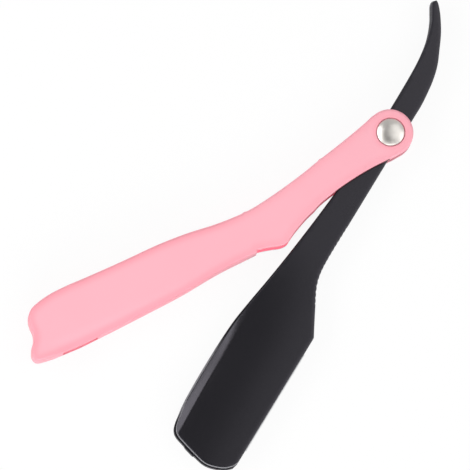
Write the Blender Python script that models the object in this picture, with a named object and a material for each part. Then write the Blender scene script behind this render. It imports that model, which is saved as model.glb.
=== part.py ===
# Replaceable blade straight razor, laid flat and opened past its handle.
# A pink moulded handle is one channel: two walls, a web along its lower edge and an open upper edge.
# The black arm is two leaves on one rivet. The front leaf swings aside to bare the half blade
# that lies in the back leaf's bed. Every outline is drawn about the rivet: the pivot is at the
# origin, the far end lies towards -X and the spine, or the handle's open edge, towards +Y.

import math

import bmesh
import bpy
from mathutils import Vector

# Half blade: a standard double-edge blade snapped along its middle
BLADE_LENGTH = 0.0430
BLADE_WIDTH = 0.0110
BLADE_THICKNESS = 0.0001
BLADE_TAB_LENGTH = 0.0029
BLADE_TAB_WIDTH = 0.0066
BLADE_PROUD = 0.0003
BLADE_CLEARANCE = 0.0003
PEG_RADIUS = 0.0009
PEG_HEIGHT = 0.00045
PEG_PITCH = 0.0150
BED_DEPTH = 0.0005

# Arm
LEAF_THICKNESS = 0.0027
PARTING_GAP = 0.0003
HEEL_REACH = 0.0707
EDGE_MARGIN = 0.0031
EDGE_OFFSET = 0.01345
SPINE_OFFSET = 0.01215
TIP_BULGE = 0.00485
TIP_LIP = 0.00035
TIP_LIP_WIDTH = 0.0036
FLANGE = 0.0005
SHANK_EDGE_OFFSET = 0.00397
SHANK_SPINE_OFFSET = 0.0041
EYE_RADIUS = 0.0062
TAIL_LENGTH = 0.0453
TAIL_RISE = 0.01085
TAIL_FLANGE = 0.00045
LEAF_ROUNDING = 0.0007
FACET_WIDTH = 0.0034
FACET_DEPTH = 0.0013
FACET_START = 0.060
JIMP_PITCH = 0.0018
JIMP_DEPTH = 0.0002
JIMP_COUNT = 15
JIMP_START = 0.0340
OPEN_ANGLE = math.radians(28.1)

# Handle
WALL = 0.0018
WEB = 0.0016
SIDE_CLEARANCE = 0.00035
END_CLEARANCE = 0.00655
END_WALL = 0.0022
END_HORN = 0.00495
BOSS_RADIUS = 0.0077
BOSS_SHIFT = 0.0003
HANDLE_WIDTH = 0.0191
HANDLE_ROUNDING = 0.0013
RIDGE_WIDTH = 0.0045
RIDGE_DEPTH = 0.0011
WINDOW_LENGTH = 0.0125
WINDOW_REACH = 0.1228

# Rivet
CAP_RADIUS = 0.00445
CAP_HEIGHT = 0.0014
CAP_RIM_HEIGHT = 0.00028
CAP_SHEET = 0.00035
BACK_CAP_SHEET = 0.00028
CAP_CLEARANCE = 0.0003
FLANGE_RADIUS = 0.0033
FLANGE_SHEET = 0.0003
RIVET_GAP = 0.00025
SOCKET_RADIUS = 0.0020
SOCKET_BORE = 0.00125
POST_RADIUS = 0.0010
BORE_CLEARANCE = 0.0002
FRONT_RECESS = 0.0008
BACK_RECESS = 0.0011

# Heights over the surface that the razor lies on
CHANNEL = 2 * LEAF_THICKNESS + PARTING_GAP + 2 * SIDE_CLEARANCE
HANDLE_THICKNESS = 2 * WALL + CHANNEL
BACK_LEAF_LOW = WALL + SIDE_CLEARANCE
BACK_LEAF_HIGH = BACK_LEAF_LOW + LEAF_THICKNESS
FRONT_LEAF_LOW = BACK_LEAF_HIGH + PARTING_GAP
FRONT_LEAF_HIGH = FRONT_LEAF_LOW + LEAF_THICKNESS

# Places along the arm and the handle
TOE_REACH = HEEL_REACH + BLADE_LENGTH + 2 * EDGE_MARGIN
TIP_REACH = TOE_REACH + TIP_BULGE
CHANNEL_REACH = TIP_REACH + END_CLEARANCE
HANDLE_REACH = CHANNEL_REACH + END_WALL + END_HORN
BLADE_MIDDLE = HEEL_REACH + EDGE_MARGIN + BLADE_LENGTH / 2
BLADE_EDGE = -EDGE_OFFSET - BLADE_PROUD
BLADE_BACK = BLADE_EDGE + BLADE_WIDTH

# Along the handle, as shares of its reach: where the web starts, and the ends of its ramp and its ridge.
# Along the tail, as shares of its length: where the flange starts and where it is at its full width.
WEB_START_SHARE = 0.418
RAMP_LOW_SHARE = 0.475
RAMP_HIGH_SHARE = 0.342
RIDGE_END_SHARE = 0.965
RIDGE_FADE_SHARE = 0.12
FLANGE_START_SHARE = 0.74
FLANGE_FULL_SHARE = 0.87

ROUND_STEPS = 48
CURVE_STEP = 0.0022
OVERSHOOT = 0.004


def clear_scene():
    for item in list(bpy.data.objects):
        bpy.data.objects.remove(item, do_unlink=True)


def material(name, color, roughness, metallic):
    made = bpy.data.materials.new(name)
    made.use_nodes = True
    shader = made.node_tree.nodes["Principled BSDF"]
    shader.inputs["Base Color"].default_value = (*color, 1.0)
    shader.inputs["Roughness"].default_value = roughness
    shader.inputs["Metallic"].default_value = metallic
    return made


# Points along a centripetal Catmull-Rom curve through the given points, ends included
def smooth(points, step=CURVE_STEP):
    knots = [Vector(point) for point in points]
    first = knots[0] * 2 - knots[1]
    last = knots[-1] * 2 - knots[-2]
    knots = [first] + knots + [last]
    curve = []
    for index in range(1, len(knots) - 2):
        before, start, end, after = knots[index - 1:index + 3]
        parts = max(1, round((end - start).length / step))
        curve.extend(segment(before, start, end, after, parts))
    curve.append(knots[-2])
    return [tuple(point) for point in curve]


# One stretch of the curve, by Barry and Goldman's pyramid of straight blends
def segment(before, start, end, after, parts):
    knots = [before, start, end, after]
    times = [0.0]
    for one, other in zip(knots, knots[1:]):
        times.append(times[-1] + math.sqrt((other - one).length))
    found = []
    for part in range(parts):
        time = times[1] + (times[2] - times[1]) * part / parts
        row = [blend(knots[i], knots[i + 1], times[i], times[i + 1], time) for i in range(3)]
        low = blend(row[0], row[1], times[0], times[2], time)
        high = blend(row[1], row[2], times[1], times[3], time)
        found.append(blend(low, high, times[1], times[2], time))
    return found


def blend(one, other, start, end, time):
    return one.lerp(other, (time - start) / (end - start))


def arc(center, radius, start, end, steps):
    found = []
    for step in range(steps + 1):
        angle = math.radians(start + (end - start) * step / steps)
        found.append((center[0] + radius * math.cos(angle), center[1] + radius * math.sin(angle)))
    return found


def finish_mesh(shape, name):
    bmesh.ops.recalc_face_normals(shape, faces=shape.faces)
    mesh = bpy.data.meshes.new(name)
    shape.to_mesh(mesh)
    shape.free()
    mesh.shade_smooth()
    mesh.set_sharp_from_angle(angle=math.radians(35))
    return mesh


def add_object(mesh, parent=None, finish=None):
    made = bpy.data.objects.new(mesh.name, mesh)
    bpy.context.collection.objects.link(made)
    made.parent = parent
    if finish:
        mesh.materials.append(finish)
    return made


# A flat outline raised from low to high, with its lower and upper rims rounded
def plate(name, outline, low, high, low_round=0.0, high_round=0.0):
    shape = bmesh.new()
    base = shape.faces.new([shape.verts.new((x, y, low)) for x, y in outline])
    raised = bmesh.ops.extrude_face_region(shape, geom=[base])
    top = [item for item in raised["geom"] if isinstance(item, bmesh.types.BMVert)]
    bmesh.ops.translate(shape, verts=top, vec=(0, 0, high - low))
    for level, width in ((low, low_round), (high, high_round)):
        if width > 0:
            rim = [edge for edge in shape.edges if all(abs(v.co.z - level) < 1e-7 for v in edge.verts)]
            bmesh.ops.bevel(shape, geom=rim, offset=width, segments=3, profile=0.5,
                            affect="EDGES", clamp_overlap=False)
    return finish_mesh(shape, name)


# A profile of radii and heights turned about the pivot's axis
def turned(name, profile, closed=False):
    shape = bmesh.new()
    verts = [shape.verts.new((radius, 0, height)) for radius, height in profile]
    pairs = list(zip(verts, verts[1:]))
    if closed:
        pairs.append((verts[-1], verts[0]))
    edges = [shape.edges.new(pair) for pair in pairs]
    bmesh.ops.spin(shape, geom=verts + edges, cent=(0, 0, 0), axis=(0, 0, 1),
                   angle=2 * math.pi, steps=ROUND_STEPS, use_merge=True)
    bmesh.ops.remove_doubles(shape, verts=shape.verts, dist=1e-6)
    return finish_mesh(shape, name)


def round_bar(name, radius, low, high, center=(0.0, 0.0), steps=ROUND_STEPS):
    return plate(name, arc(center, radius, 0, 360 - 360 / steps, steps - 1), low, high)


def combine(target, mesh, operation="DIFFERENCE"):
    tool = add_object(mesh, target.parent)
    tool.hide_render = True
    tool.display_type = "WIRE"
    change = target.modifiers.new(mesh.name, "BOOLEAN")
    change.object = tool
    change.operation = operation
    change.solver = "EXACT"


# A wedge that planes a slanted facet off a rim: each station gives the crease on the face,
# the rim's point below it and the facet's drop there
def facet_wedge(name, stations, face, side):
    shape = bmesh.new()
    rings = []
    for (crease_x, crease_y), (rim_x, rim_y), drop in stations:
        across = Vector((rim_x - crease_x, rim_y - crease_y))
        reach = across.length
        across.normalize()
        slope = drop / reach
        ring = []
        for distance, lift in ((-reach, 0), (reach * 1.5, 0), (reach * 1.5, 1), (-reach, 1)):
            point = Vector((crease_x, crease_y)) + across * distance
            height = face - side * slope * distance + side * lift * OVERSHOOT
            ring.append(shape.verts.new((point.x, point.y, height)))
        rings.append(ring)
    for one, other in zip(rings, rings[1:]):
        for corner in range(4):
            following = (corner + 1) % 4
            shape.faces.new((one[corner], one[following], other[following], other[corner]))
    shape.faces.new(rings[0])
    shape.faces.new(reversed(rings[-1]))
    return finish_mesh(shape, name)


# Edge side of the tail, from its tip to the shank
def tail_edge_side():
    rise = TAIL_RISE + SHANK_EDGE_OFFSET
    shares = ((1.0, 0.909), (0.992, 0.868), (0.978, 0.821), (0.934, 0.703), (0.870, 0.565), (0.806, 0.445),
              (0.706, 0.298), (0.600, 0.1545), (0.499, 0.071), (0.398, 0.025), (0.296, 0.0), (0.221, 0.0))
    return smooth([(TAIL_LENGTH * x, rise * y - SHANK_EDGE_OFFSET) for x, y in shares])


# Spine side of the tail, from the shank to its round tip. Towards the tip the front leaf is inset,
# which bares the back leaf's flange there too.
def tail_spine_side(inset):
    rise = TAIL_RISE - SHANK_SPINE_OFFSET
    shares = ((0.221, 0.0), (0.419, 0.018), (0.530, 0.052), (0.620, 0.116), (0.704, 0.215), (0.790, 0.400),
              (0.857, 0.607), (0.907, 0.807), (0.947, 0.963), (0.965, 1.0), (0.982, 0.985), (0.996, 0.919))
    points = []
    for x, y in shares:
        growth = (x - FLANGE_START_SHARE) / (FLANGE_FULL_SHARE - FLANGE_START_SHARE)
        bared = inset * min(1.0, max(0.0, growth))
        points.append((TAIL_LENGTH * x, rise * y + SHANK_SPINE_OFFSET - bared))
    return smooth(points)


# The round eye at the rivet, cut by the shank's two sides
def eye_side(offset, sign):
    bite = math.degrees(math.asin(offset / EYE_RADIUS))
    if sign < 0:
        return arc((0, 0), EYE_RADIUS, -bite, bite - 180, 12)
    return arc((0, 0), EYE_RADIUS, 180 - bite, bite, 12)


# Edge side of the shank from the eye to the heel, with the jimps as shallow scallops
def heel_side():
    drop = EDGE_OFFSET - SHANK_EDGE_OFFSET
    shares = ((0.20, 0.0), (0.45, 0.0), (0.64, 0.0), (0.714, 0.033), (0.762, 0.105),
              (0.806, 0.230), (0.847, 0.387), (0.928, 0.708), (1.0, 1.0))
    curve = smooth([(-HEEL_REACH * x, -SHANK_EDGE_OFFSET - drop * y) for x, y in shares],
                   JIMP_PITCH / 4)
    end = JIMP_START + JIMP_COUNT * JIMP_PITCH
    found = []
    for x, y in curve:
        turn = (-x - JIMP_START) / JIMP_PITCH
        if JIMP_START < -x < end:
            y += JIMP_DEPTH * (1 - abs(math.sin(math.pi * turn)))
            found.append((x, y))
        elif not found or math.dist(found[-1], (x, y)) > CURVE_STEP:
            found.append((x, y))
    found.append((-HEEL_REACH, -EDGE_OFFSET))
    return found


# The blunt tip from the toe's cut corner up to the spine. Above its middle the front leaf is inset, which
# bares the back leaf's flange; the lip is the small tab that the thumb pushes against.
def tip_side(inset, lip):
    top = SPINE_OFFSET - inset
    lower = smooth([(-TOE_REACH - 0.18 * TIP_BULGE, -0.962 * EDGE_OFFSET),
                    (-TOE_REACH - 0.545 * TIP_BULGE, -0.83 * EDGE_OFFSET),
                    (-TIP_REACH + 0.20 * TIP_BULGE, -0.65 * EDGE_OFFSET),
                    (-TIP_REACH + 0.02 * TIP_BULGE, -0.435 * EDGE_OFFSET),
                    (-TIP_REACH, -0.27 * EDGE_OFFSET), (-TIP_REACH + 0.15 * TIP_BULGE, 0.0)])
    rise = ((0.39, 0.37), (0.61, 0.65), (0.78, 0.755), (1.04, 0.83), (1.48, 0.885), (2.0, 0.917),
            (2.52, 0.952))
    upper = smooth([(-TIP_REACH + TIP_BULGE * x + inset, top * y) for x, y in rise])
    tab = []
    if lip > 0:
        tab = [(-TIP_REACH + 0.18 * TIP_BULGE - lip, 0.1 * TIP_LIP_WIDTH),
               (-TIP_REACH + 0.36 * TIP_BULGE - lip, TIP_LIP_WIDTH)]
    return [(-TOE_REACH + 0.22 * TIP_BULGE, -EDGE_OFFSET)] + lower + tab + upper


# Spine from the tip back to the eye
def spine_side(inset):
    top = SPINE_OFFSET - inset
    low = SHANK_SPINE_OFFSET
    widen = top - low
    shares = ((1.548, 0.965), (1.445, 0.993), (1.338, 1.0), (1.23, 0.985), (1.118, 0.935), (1.0, 0.80),
              (0.883, 0.645), (0.737, 0.473), (0.562, 0.30), (0.392, 0.163), (0.22, 0.07))
    return smooth([(-HEEL_REACH * x, low + widen * y) for x, y in shares])


def arm_outline(inset=0.0, tail_inset=0.0, lip=0.0):
    outline = tail_edge_side()
    outline += eye_side(SHANK_EDGE_OFFSET, -1)
    outline += heel_side()
    outline += tip_side(inset, lip)
    outline += spine_side(inset)
    outline += eye_side(SHANK_SPINE_OFFSET, 1)
    outline += tail_spine_side(tail_inset)
    return outline


def make_back_leaf(parent, finish):
    mesh = plate("back_leaf", arm_outline(lip=TIP_LIP), BACK_LEAF_LOW, BACK_LEAF_HIGH, LEAF_ROUNDING)
    leaf = add_object(mesh, parent, finish)
    half = BLADE_LENGTH / 2 + BLADE_CLEARANCE
    back = BLADE_BACK + BLADE_CLEARANCE
    mouth = -EDGE_OFFSET - OVERSHOOT
    bed = [(-BLADE_MIDDLE - half, mouth), (-BLADE_MIDDLE + half, mouth),
           (-BLADE_MIDDLE + half, back), (-BLADE_MIDDLE - half, back)]
    floor = BACK_LEAF_HIGH - BED_DEPTH
    combine(leaf, plate("blade_bed", bed, floor, BACK_LEAF_HIGH + OVERSHOOT))
    for step in (-1, 0, 1):
        center = (-BLADE_MIDDLE + step * PEG_PITCH, BLADE_BACK)
        peg = round_bar("blade_peg", PEG_RADIUS, floor - BED_DEPTH, floor + PEG_HEIGHT, center, 16)
        combine(leaf, peg, "UNION")
    bore = SOCKET_RADIUS + BORE_CLEARANCE
    combine(leaf, round_bar("back_leaf_bore", bore, 0, HANDLE_THICKNESS))
    return leaf


def make_front_leaf(parent, finish):
    outline = arm_outline(FLANGE, TAIL_FLANGE)
    mesh = plate("front_leaf", outline, FRONT_LEAF_LOW, FRONT_LEAF_HIGH, 0.0, LEAF_ROUNDING)
    leaf = add_object(mesh, parent, finish)
    combine(leaf, facet_wedge("spine_facet", facet_stations(), FRONT_LEAF_HIGH, 1))
    bore = SOCKET_RADIUS + BORE_CLEARANCE
    combine(leaf, round_bar("front_leaf_bore", bore, 0, HANDLE_THICKNESS))
    return leaf


# The spine's facet starts at nothing on the shank, reaches its full depth on the head and runs
# out straight past the tip
def facet_stations():
    stations = []
    rim = [point for point in reversed(spine_side(FLANGE)) if -point[0] > FACET_START]
    length = -rim[-1][0] - FACET_START
    rim += [(-TIP_REACH - OVERSHOOT, rim[-1][1])]
    for x, y in rim:
        share = min(1.0, (-x - FACET_START) / (0.6 * length))
        drop = FACET_DEPTH * (0.04 + 0.96 * share * share * (3 - 2 * share))
        stations.append(((x, y - FACET_WIDTH), (x, y), drop))
    return stations


# The half blade: narrow tabs past each end of its edge, and half slots that sit on the pegs
def blade_outline():
    half = BLADE_LENGTH / 2
    inner = half - BLADE_TAB_LENGTH
    tab_low = BLADE_BACK - BLADE_TAB_WIDTH
    notch = PEG_RADIUS + BLADE_CLEARANCE
    outline = [(-half, tab_low), (-inner, tab_low), (-inner, BLADE_EDGE), (inner, BLADE_EDGE),
               (inner, tab_low), (half, tab_low), (half, BLADE_BACK)]
    for step in (1, 0, -1):
        outline += arc((step * PEG_PITCH, BLADE_BACK), notch, 0, -180, 8)
    outline.append((-half, BLADE_BACK))
    return [(x - BLADE_MIDDLE, y) for x, y in outline]


def make_blade(parent, finish):
    low = BACK_LEAF_HIGH - BED_DEPTH + BLADE_CLEARANCE
    mesh = plate("half_blade", blade_outline(), low, low + BLADE_THICKNESS)
    return add_object(mesh, parent, finish)


# Upper, open edge of the handle from the boss to the far end, as shares of reach and width
def handle_upper_edge():
    shares = ((0.021, 0.393), (0.040, 0.361), (0.065, 0.328), (0.112, 0.274), (0.184, 0.204), (0.235, 0.148),
              (0.306, 0.096), (0.377, 0.074), (0.424, 0.105), (0.470, 0.160), (0.540, 0.274), (0.611, 0.355),
              (0.705, 0.420), (0.798, 0.496), (0.846, 0.540), (0.890, 0.560), (0.924, 0.540), (0.946, 0.498),
              (0.958, 0.425), (0.965, 0.334), (0.9685, 0.233))
    return smooth([(-HANDLE_REACH * x, HANDLE_WIDTH * y) for x, y in shares])


# The scooped far end and its lower horn
def handle_end():
    shares = ((0.9685, 0.233), (0.970, 0.130), (0.978, 0.014), (0.991, -0.085), (0.999, -0.185),
              (1.0, -0.261), (0.995, -0.318), (0.984, -0.353))
    return smooth([(-HANDLE_REACH * x, HANDLE_WIDTH * y) for x, y in shares])[1:]


# Lower edge over the web, from the horn to the web's start
def handle_web_edge():
    shares = ((0.984, -0.353), (0.958, -0.397), (0.930, -0.427), (0.890, -0.467), (0.845, -0.491),
              (0.797, -0.514), (0.749, -0.533), (0.701, -0.552), (0.654, -0.570), (0.606, -0.580),
              (0.558, -0.575), (0.511, -0.578), (0.463, -0.600), (WEB_START_SHARE, -0.622))
    return smooth([(-HANDLE_REACH * x, HANDLE_WIDTH * y) for x, y in shares])[1:]


# Lower edge where the channel is open, from the step at the web's start round the belly to the neck
def handle_neck_edge():
    shares = ((WEB_START_SHARE - 0.003, -0.588), (0.396, -0.630), (0.3775, -0.680), (0.361, -0.728),
              (0.3445, -0.738), (0.3305, -0.690), (0.309, -0.622), (0.272, -0.530), (0.249, -0.490),
              (0.228, -0.444), (0.184, -0.398), (0.135, -0.372), (0.097, -0.366), (0.072, -0.371),
              (0.045, -0.388), (0.024, -0.401))
    return smooth([(-HANDLE_REACH * x, HANDLE_WIDTH * y) for x, y in shares])


def handle_outline():
    outline = handle_upper_edge()
    outline += handle_end()
    outline += handle_web_edge()
    outline += handle_neck_edge()
    outline += arc((-BOSS_SHIFT, 0), BOSS_RADIUS, 265, 455, 30)
    return outline


# The channel: the end wall, the web's floor, the ramp that closes the web, then open below
def channel_outline():
    top = HANDLE_WIDTH + OVERSHOOT
    web = [(x, y + WEB) for x, y in handle_web_edge()]
    floor = [point for point in web if RAMP_LOW_SHARE * HANDLE_REACH < -point[0] < CHANNEL_REACH]
    end = [(-CHANNEL_REACH, top), (-CHANNEL_REACH, 0.0)]
    corner = smooth([(-CHANNEL_REACH, 0.0), (-CHANNEL_REACH, 0.55 * floor[0][1]), floor[0]])[1:-1]
    upper = ((0.450, -0.45), (0.420, -0.33), (0.390, -0.225), (0.362, -0.165), (RAMP_HIGH_SHARE, -0.145))
    ramp_top = smooth([floor[-1]] + [(-HANDLE_REACH * x, HANDLE_WIDTH * y) for x, y in upper])[1:]
    lower = ((0.365, -0.27), (0.392, -0.35), (WEB_START_SHARE - 0.010, -0.47),
             (WEB_START_SHARE - 0.002, -0.60))
    ramp_nose = (ramp_top[-1][0], ramp_top[-1][1] - WEB)
    ramp_base = smooth([ramp_nose] + [(-HANDLE_REACH * x, HANDLE_WIDTH * y) for x, y in lower])
    below = -HANDLE_WIDTH - OVERSHOOT
    ahead = BOSS_RADIUS + OVERSHOOT
    open_side = [(ramp_base[-1][0], below), (ahead, below), (ahead, top)]
    return end + corner + floor + ramp_top + ramp_base + open_side


# The slope below the soft ridge that runs along the lower part of each face; it deepens towards the
# far end and runs out over its last stretch
def ridge_stations():
    stations = []
    rim = [point for point in handle_web_edge() if -point[0] < RIDGE_END_SHARE * HANDLE_REACH]
    for x, y in rim:
        share = (-x / HANDLE_REACH - WEB_START_SHARE) / (RIDGE_END_SHARE - WEB_START_SHARE)
        width = RIDGE_WIDTH * (0.35 + 0.65 * share)
        fade = min(1.0, (1.0 - share) / RIDGE_FADE_SHARE)
        drop = RIDGE_DEPTH * (0.05 + 0.95 * share * fade)
        stations.append(((x, y + width), (x, y), drop))
    return stations


def make_handle(parent, finish):
    mesh = plate("handle", handle_outline(), 0.0, HANDLE_THICKNESS, HANDLE_ROUNDING, HANDLE_ROUNDING)
    handle = add_object(mesh, parent, finish)
    combine(handle, facet_wedge("front_ridge", ridge_stations(), HANDLE_THICKNESS, 1))
    combine(handle, facet_wedge("back_ridge", ridge_stations(), 0.0, -1))
    combine(handle, plate("channel", channel_outline(), WALL, HANDLE_THICKNESS - WALL))
    near = -WINDOW_REACH + WINDOW_LENGTH / 2
    far = -WINDOW_REACH - WINDOW_LENGTH / 2
    low = -HANDLE_WIDTH
    high = -0.30 * HANDLE_WIDTH
    window = [(far, low), (near, low), (near, high), (far, high)]
    combine(handle, plate("web_window", window, WALL, HANDLE_THICKNESS - WALL))
    bore = SOCKET_RADIUS + BORE_CLEARANCE
    combine(handle, round_bar("handle_bore", bore, -OVERSHOOT, HANDLE_THICKNESS + OVERSHOOT))
    recess = CAP_RADIUS + CAP_CLEARANCE
    front = HANDLE_THICKNESS - FRONT_RECESS
    combine(handle, round_bar("front_recess", recess, front, HANDLE_THICKNESS + OVERSHOOT))
    combine(handle, round_bar("back_recess", recess, -OVERSHOOT, BACK_RECESS))
    return handle


# Domed front cap: a thin shell that stands in the front recess
def make_front_cap(parent, finish):
    low = HANDLE_THICKNESS - FRONT_RECESS + RIVET_GAP
    steps = 8
    outer = []
    inner = []
    for step in range(steps + 1):
        share = step / steps
        height = low + CAP_HEIGHT - (CAP_HEIGHT - CAP_RIM_HEIGHT) * share ** 2.4
        outer.append((CAP_RADIUS * share, height))
        inner.append(((CAP_RADIUS - CAP_SHEET) * share, height - CAP_SHEET))
    rim = [(CAP_RADIUS, low), (CAP_RADIUS - CAP_SHEET, low)]
    profile = outer + rim + inner[:-1][::-1]
    return add_object(turned("rivet_front_cap", profile), parent, finish)


# Tubular socket: a flange under the front cap and a tube through both walls and both leaves
def make_socket(parent, finish):
    top = HANDLE_THICKNESS - FRONT_RECESS + RIVET_GAP + FLANGE_SHEET
    low = BACK_RECESS + FLANGE_SHEET
    profile = [(SOCKET_BORE, low), (SOCKET_RADIUS, low), (SOCKET_RADIUS, top - FLANGE_SHEET),
               (FLANGE_RADIUS, top - FLANGE_SHEET), (FLANGE_RADIUS, top), (SOCKET_BORE, top)]
    return add_object(turned("rivet_socket", profile, closed=True), parent, finish)


# Post: a flange under the back cap and a pin that goes up the socket's bore
def make_post(parent, finish):
    base = BACK_RECESS - RIVET_GAP - FLANGE_SHEET
    top = HANDLE_THICKNESS - FRONT_RECESS - FLANGE_SHEET
    nose = 0.4 * POST_RADIUS
    profile = [(0, base), (FLANGE_RADIUS, base), (FLANGE_RADIUS, base + FLANGE_SHEET),
               (POST_RADIUS, base + FLANGE_SHEET), (POST_RADIUS, top - nose),
               (POST_RADIUS - nose, top), (0, top)]
    return add_object(turned("rivet_post", profile), parent, finish)


# Flat back cap: a shallow dish, flush with the back face so that the razor lies steady
def make_back_cap(parent, finish):
    sheet = BACK_CAP_SHEET
    face = BACK_RECESS - 2 * RIVET_GAP - FLANGE_SHEET - sheet
    rim = BACK_RECESS - RIVET_GAP
    profile = [(0, face), (CAP_RADIUS - sheet, face), (CAP_RADIUS, face + sheet), (CAP_RADIUS, rim),
               (CAP_RADIUS - sheet, rim), (CAP_RADIUS - sheet, face + sheet), (0, face + sheet)]
    return add_object(turned("rivet_back_cap", profile), parent, finish)


def add_pivot(name, parent, angle=0.0):
    pivot = bpy.data.objects.new(name, None)
    bpy.context.collection.objects.link(pivot)
    pivot.parent = parent
    pivot.rotation_euler = (0, 0, angle)
    return pivot


# The part's origin is the middle of its box, on the surface that it lies on
def seat_on_origin(root, solids):
    bpy.context.view_layer.update()
    exact = []
    for solid in solids:
        exact += [solid.matrix_world @ vert.co for vert in solid.data.vertices]
    low = Vector([min(point[axis] for point in exact) for axis in range(3)])
    high = Vector([max(point[axis] for point in exact) for axis in range(3)])
    middle = (low + high) / 2
    root.location = (-middle.x, -middle.y, -low.z)
    return middle


def build():
    clear_scene()
    pink = material("pink_plastic", (0.95, 0.44, 0.52), 0.42, 0.0)
    black = material("black_plastic", (0.022, 0.021, 0.025), 0.32, 0.0)
    nickel = material("nickel", (0.66, 0.66, 0.65), 0.22, 1.0)
    steel = material("blade_steel", (0.56, 0.57, 0.58), 0.25, 1.0)
    root = add_pivot("razor_frame", None)
    arm = add_pivot("arm_pivot", root, OPEN_ANGLE)
    solids = [
        make_handle(root, pink),
        make_front_cap(root, nickel),
        make_socket(root, nickel),
        make_post(root, nickel),
        make_back_cap(root, nickel),
        make_back_leaf(arm, black),
        make_blade(arm, steel),
        make_front_leaf(arm, black),
    ]
    middle = seat_on_origin(root, solids)
    print("pivot at", [round(-value, 6) for value in middle[:2]])


build()
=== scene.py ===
# Replaceable blade straight razor, opened and laid flat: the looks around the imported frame.
# Shapes are worked out in millimetres about the rivet and put into their meshes in metres.
import math

import bmesh
import bpy
import numpy as np
from mathutils import Matrix, Vector
from mathutils.geometry import delaunay_2d_cdt


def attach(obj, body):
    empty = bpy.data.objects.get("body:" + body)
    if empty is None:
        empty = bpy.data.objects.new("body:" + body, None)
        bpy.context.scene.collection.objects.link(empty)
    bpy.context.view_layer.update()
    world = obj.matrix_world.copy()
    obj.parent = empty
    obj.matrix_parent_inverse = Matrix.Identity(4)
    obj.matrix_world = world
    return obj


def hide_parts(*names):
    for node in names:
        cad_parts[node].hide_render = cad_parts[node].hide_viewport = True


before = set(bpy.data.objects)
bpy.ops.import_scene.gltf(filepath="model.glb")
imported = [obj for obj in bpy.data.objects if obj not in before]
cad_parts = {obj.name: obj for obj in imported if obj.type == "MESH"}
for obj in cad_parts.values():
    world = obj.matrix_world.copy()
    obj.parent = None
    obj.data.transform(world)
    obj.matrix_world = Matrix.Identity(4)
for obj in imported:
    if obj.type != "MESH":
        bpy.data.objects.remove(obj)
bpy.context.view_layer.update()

print("frame loaded:", len(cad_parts), "nodes")

# Where the rivet's axis stands in the frame, and how far the arm is opened about it
place = {
    "pivot": (51.482, 18.932),
    "openAngle": 28.1,
    "mm": 0.001,
}

# Heights over the floor, in millimetres, as the CAD has them; cutting tools reach past both faces
heights = {
    "wall": 1.8,
    "thickness": 10.0,
    "backLeafLow": 2.15,
    "backLeafHigh": 4.85,
    "frontLeafLow": 5.15,
    "frontLeafHigh": 7.85,
    "frontRecess": 0.8,
    "backRecess": 1.1,
    "rivetGap": 0.25,
    "flangeSheet": 0.3,
    "cutLow": -4.0,
    "cutHigh": 14.0,
}

# How points are laid out and joined, in millimetres or as shares of the grid's spacing
meshing = {
    "block": 2000,  # points measured at one time
    "rowPitch": 0.866,  # the height of a triangle with sides of 1
    "loopRoom": 0.45,
    "creaseRoom": 0.35,
    "goodInset": 0.97,
    "creaseEndRoom": 0.25,
    "creaseEndReach": 1.5,
    "joined": 1e-6,
}


# Centripetal Catmull-Rom: on each stretch three layers of straight blends between neighbouring knots,
# timed by the square root of the knots' distances
def smoothCurve(points, step):
    knots = np.asarray(points, float)
    knots = np.vstack([2 * knots[0] - knots[1], knots, 2 * knots[-1] - knots[-2]])
    spans = np.sqrt(np.linalg.norm(np.diff(knots, axis=0), axis=1))
    times = np.concatenate([[0.0], np.cumsum(spans)])
    runs = []
    for i in range(1, len(knots) - 2):
        count = max(1, int(round(np.linalg.norm(knots[i + 1] - knots[i]) / step)))
        now = times[i] + (times[i + 1] - times[i]) * np.arange(count)[:, None] / count

        # The straight blend from one layer to the other between two knots' times
        def mixed(one, other, start, end):
            return one + (other - one) * (now - times[start]) / (times[end] - times[start])

        row = [mixed(knots[j], knots[j + 1], j, j + 1) for j in (i - 1, i, i + 1)]
        low = mixed(row[0], row[1], i - 1, i + 1)
        high = mixed(row[1], row[2], i, i + 2)
        runs.append(mixed(low, high, i, i + 1))
    runs.append(knots[-2:-1])
    return np.vstack(runs)


# A share held between 0 and 1 and eased at both ends: s s (3 - 2 s)
def eased(share):
    share = np.clip(share, 0.0, 1.0)
    return share * share * (3 - 2 * share)


# An eased climb from 0 at the first value to 1 at the second, which may be the smaller one
def climb(values, start, end):
    return eased((values - start) / (end - start))


# Points at equal angles on a circle about a centre, from one angle to the other in degrees
def arcCurve(center, radius, start, end, count):
    angle = np.radians(np.linspace(start, end, count))
    return np.column_stack([center[0] + radius * np.cos(angle), center[1] + radius * np.sin(angle)])


# A closed loop with its long sides cut into equal steps, and points that repeat left out
def refined(loop, step):
    ahead = np.roll(loop, -1, axis=0)
    length = np.linalg.norm(ahead - loop, axis=1)
    loop, ahead, length = loop[length > 1e-4], ahead[length > 1e-4], length[length > 1e-4]
    parts = np.maximum(1, np.ceil(length / step).astype(int))
    owner = np.repeat(np.arange(len(loop)), parts)
    first = np.repeat(np.cumsum(parts) - parts, parts)
    share = (np.arange(parts.sum()) - first) / parts[owner]
    return loop[owner] + (ahead - loop)[owner] * share[:, None]


# A loop turned so that it runs with its inside on the left: its area by the shoelace sum is positive
def leftHanded(loop):
    x, y = loop[:, 0], loop[:, 1]
    area = np.sum(x * np.roll(y, -1) - y * np.roll(x, -1))
    return loop if area > 0 else loop[::-1]


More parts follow.
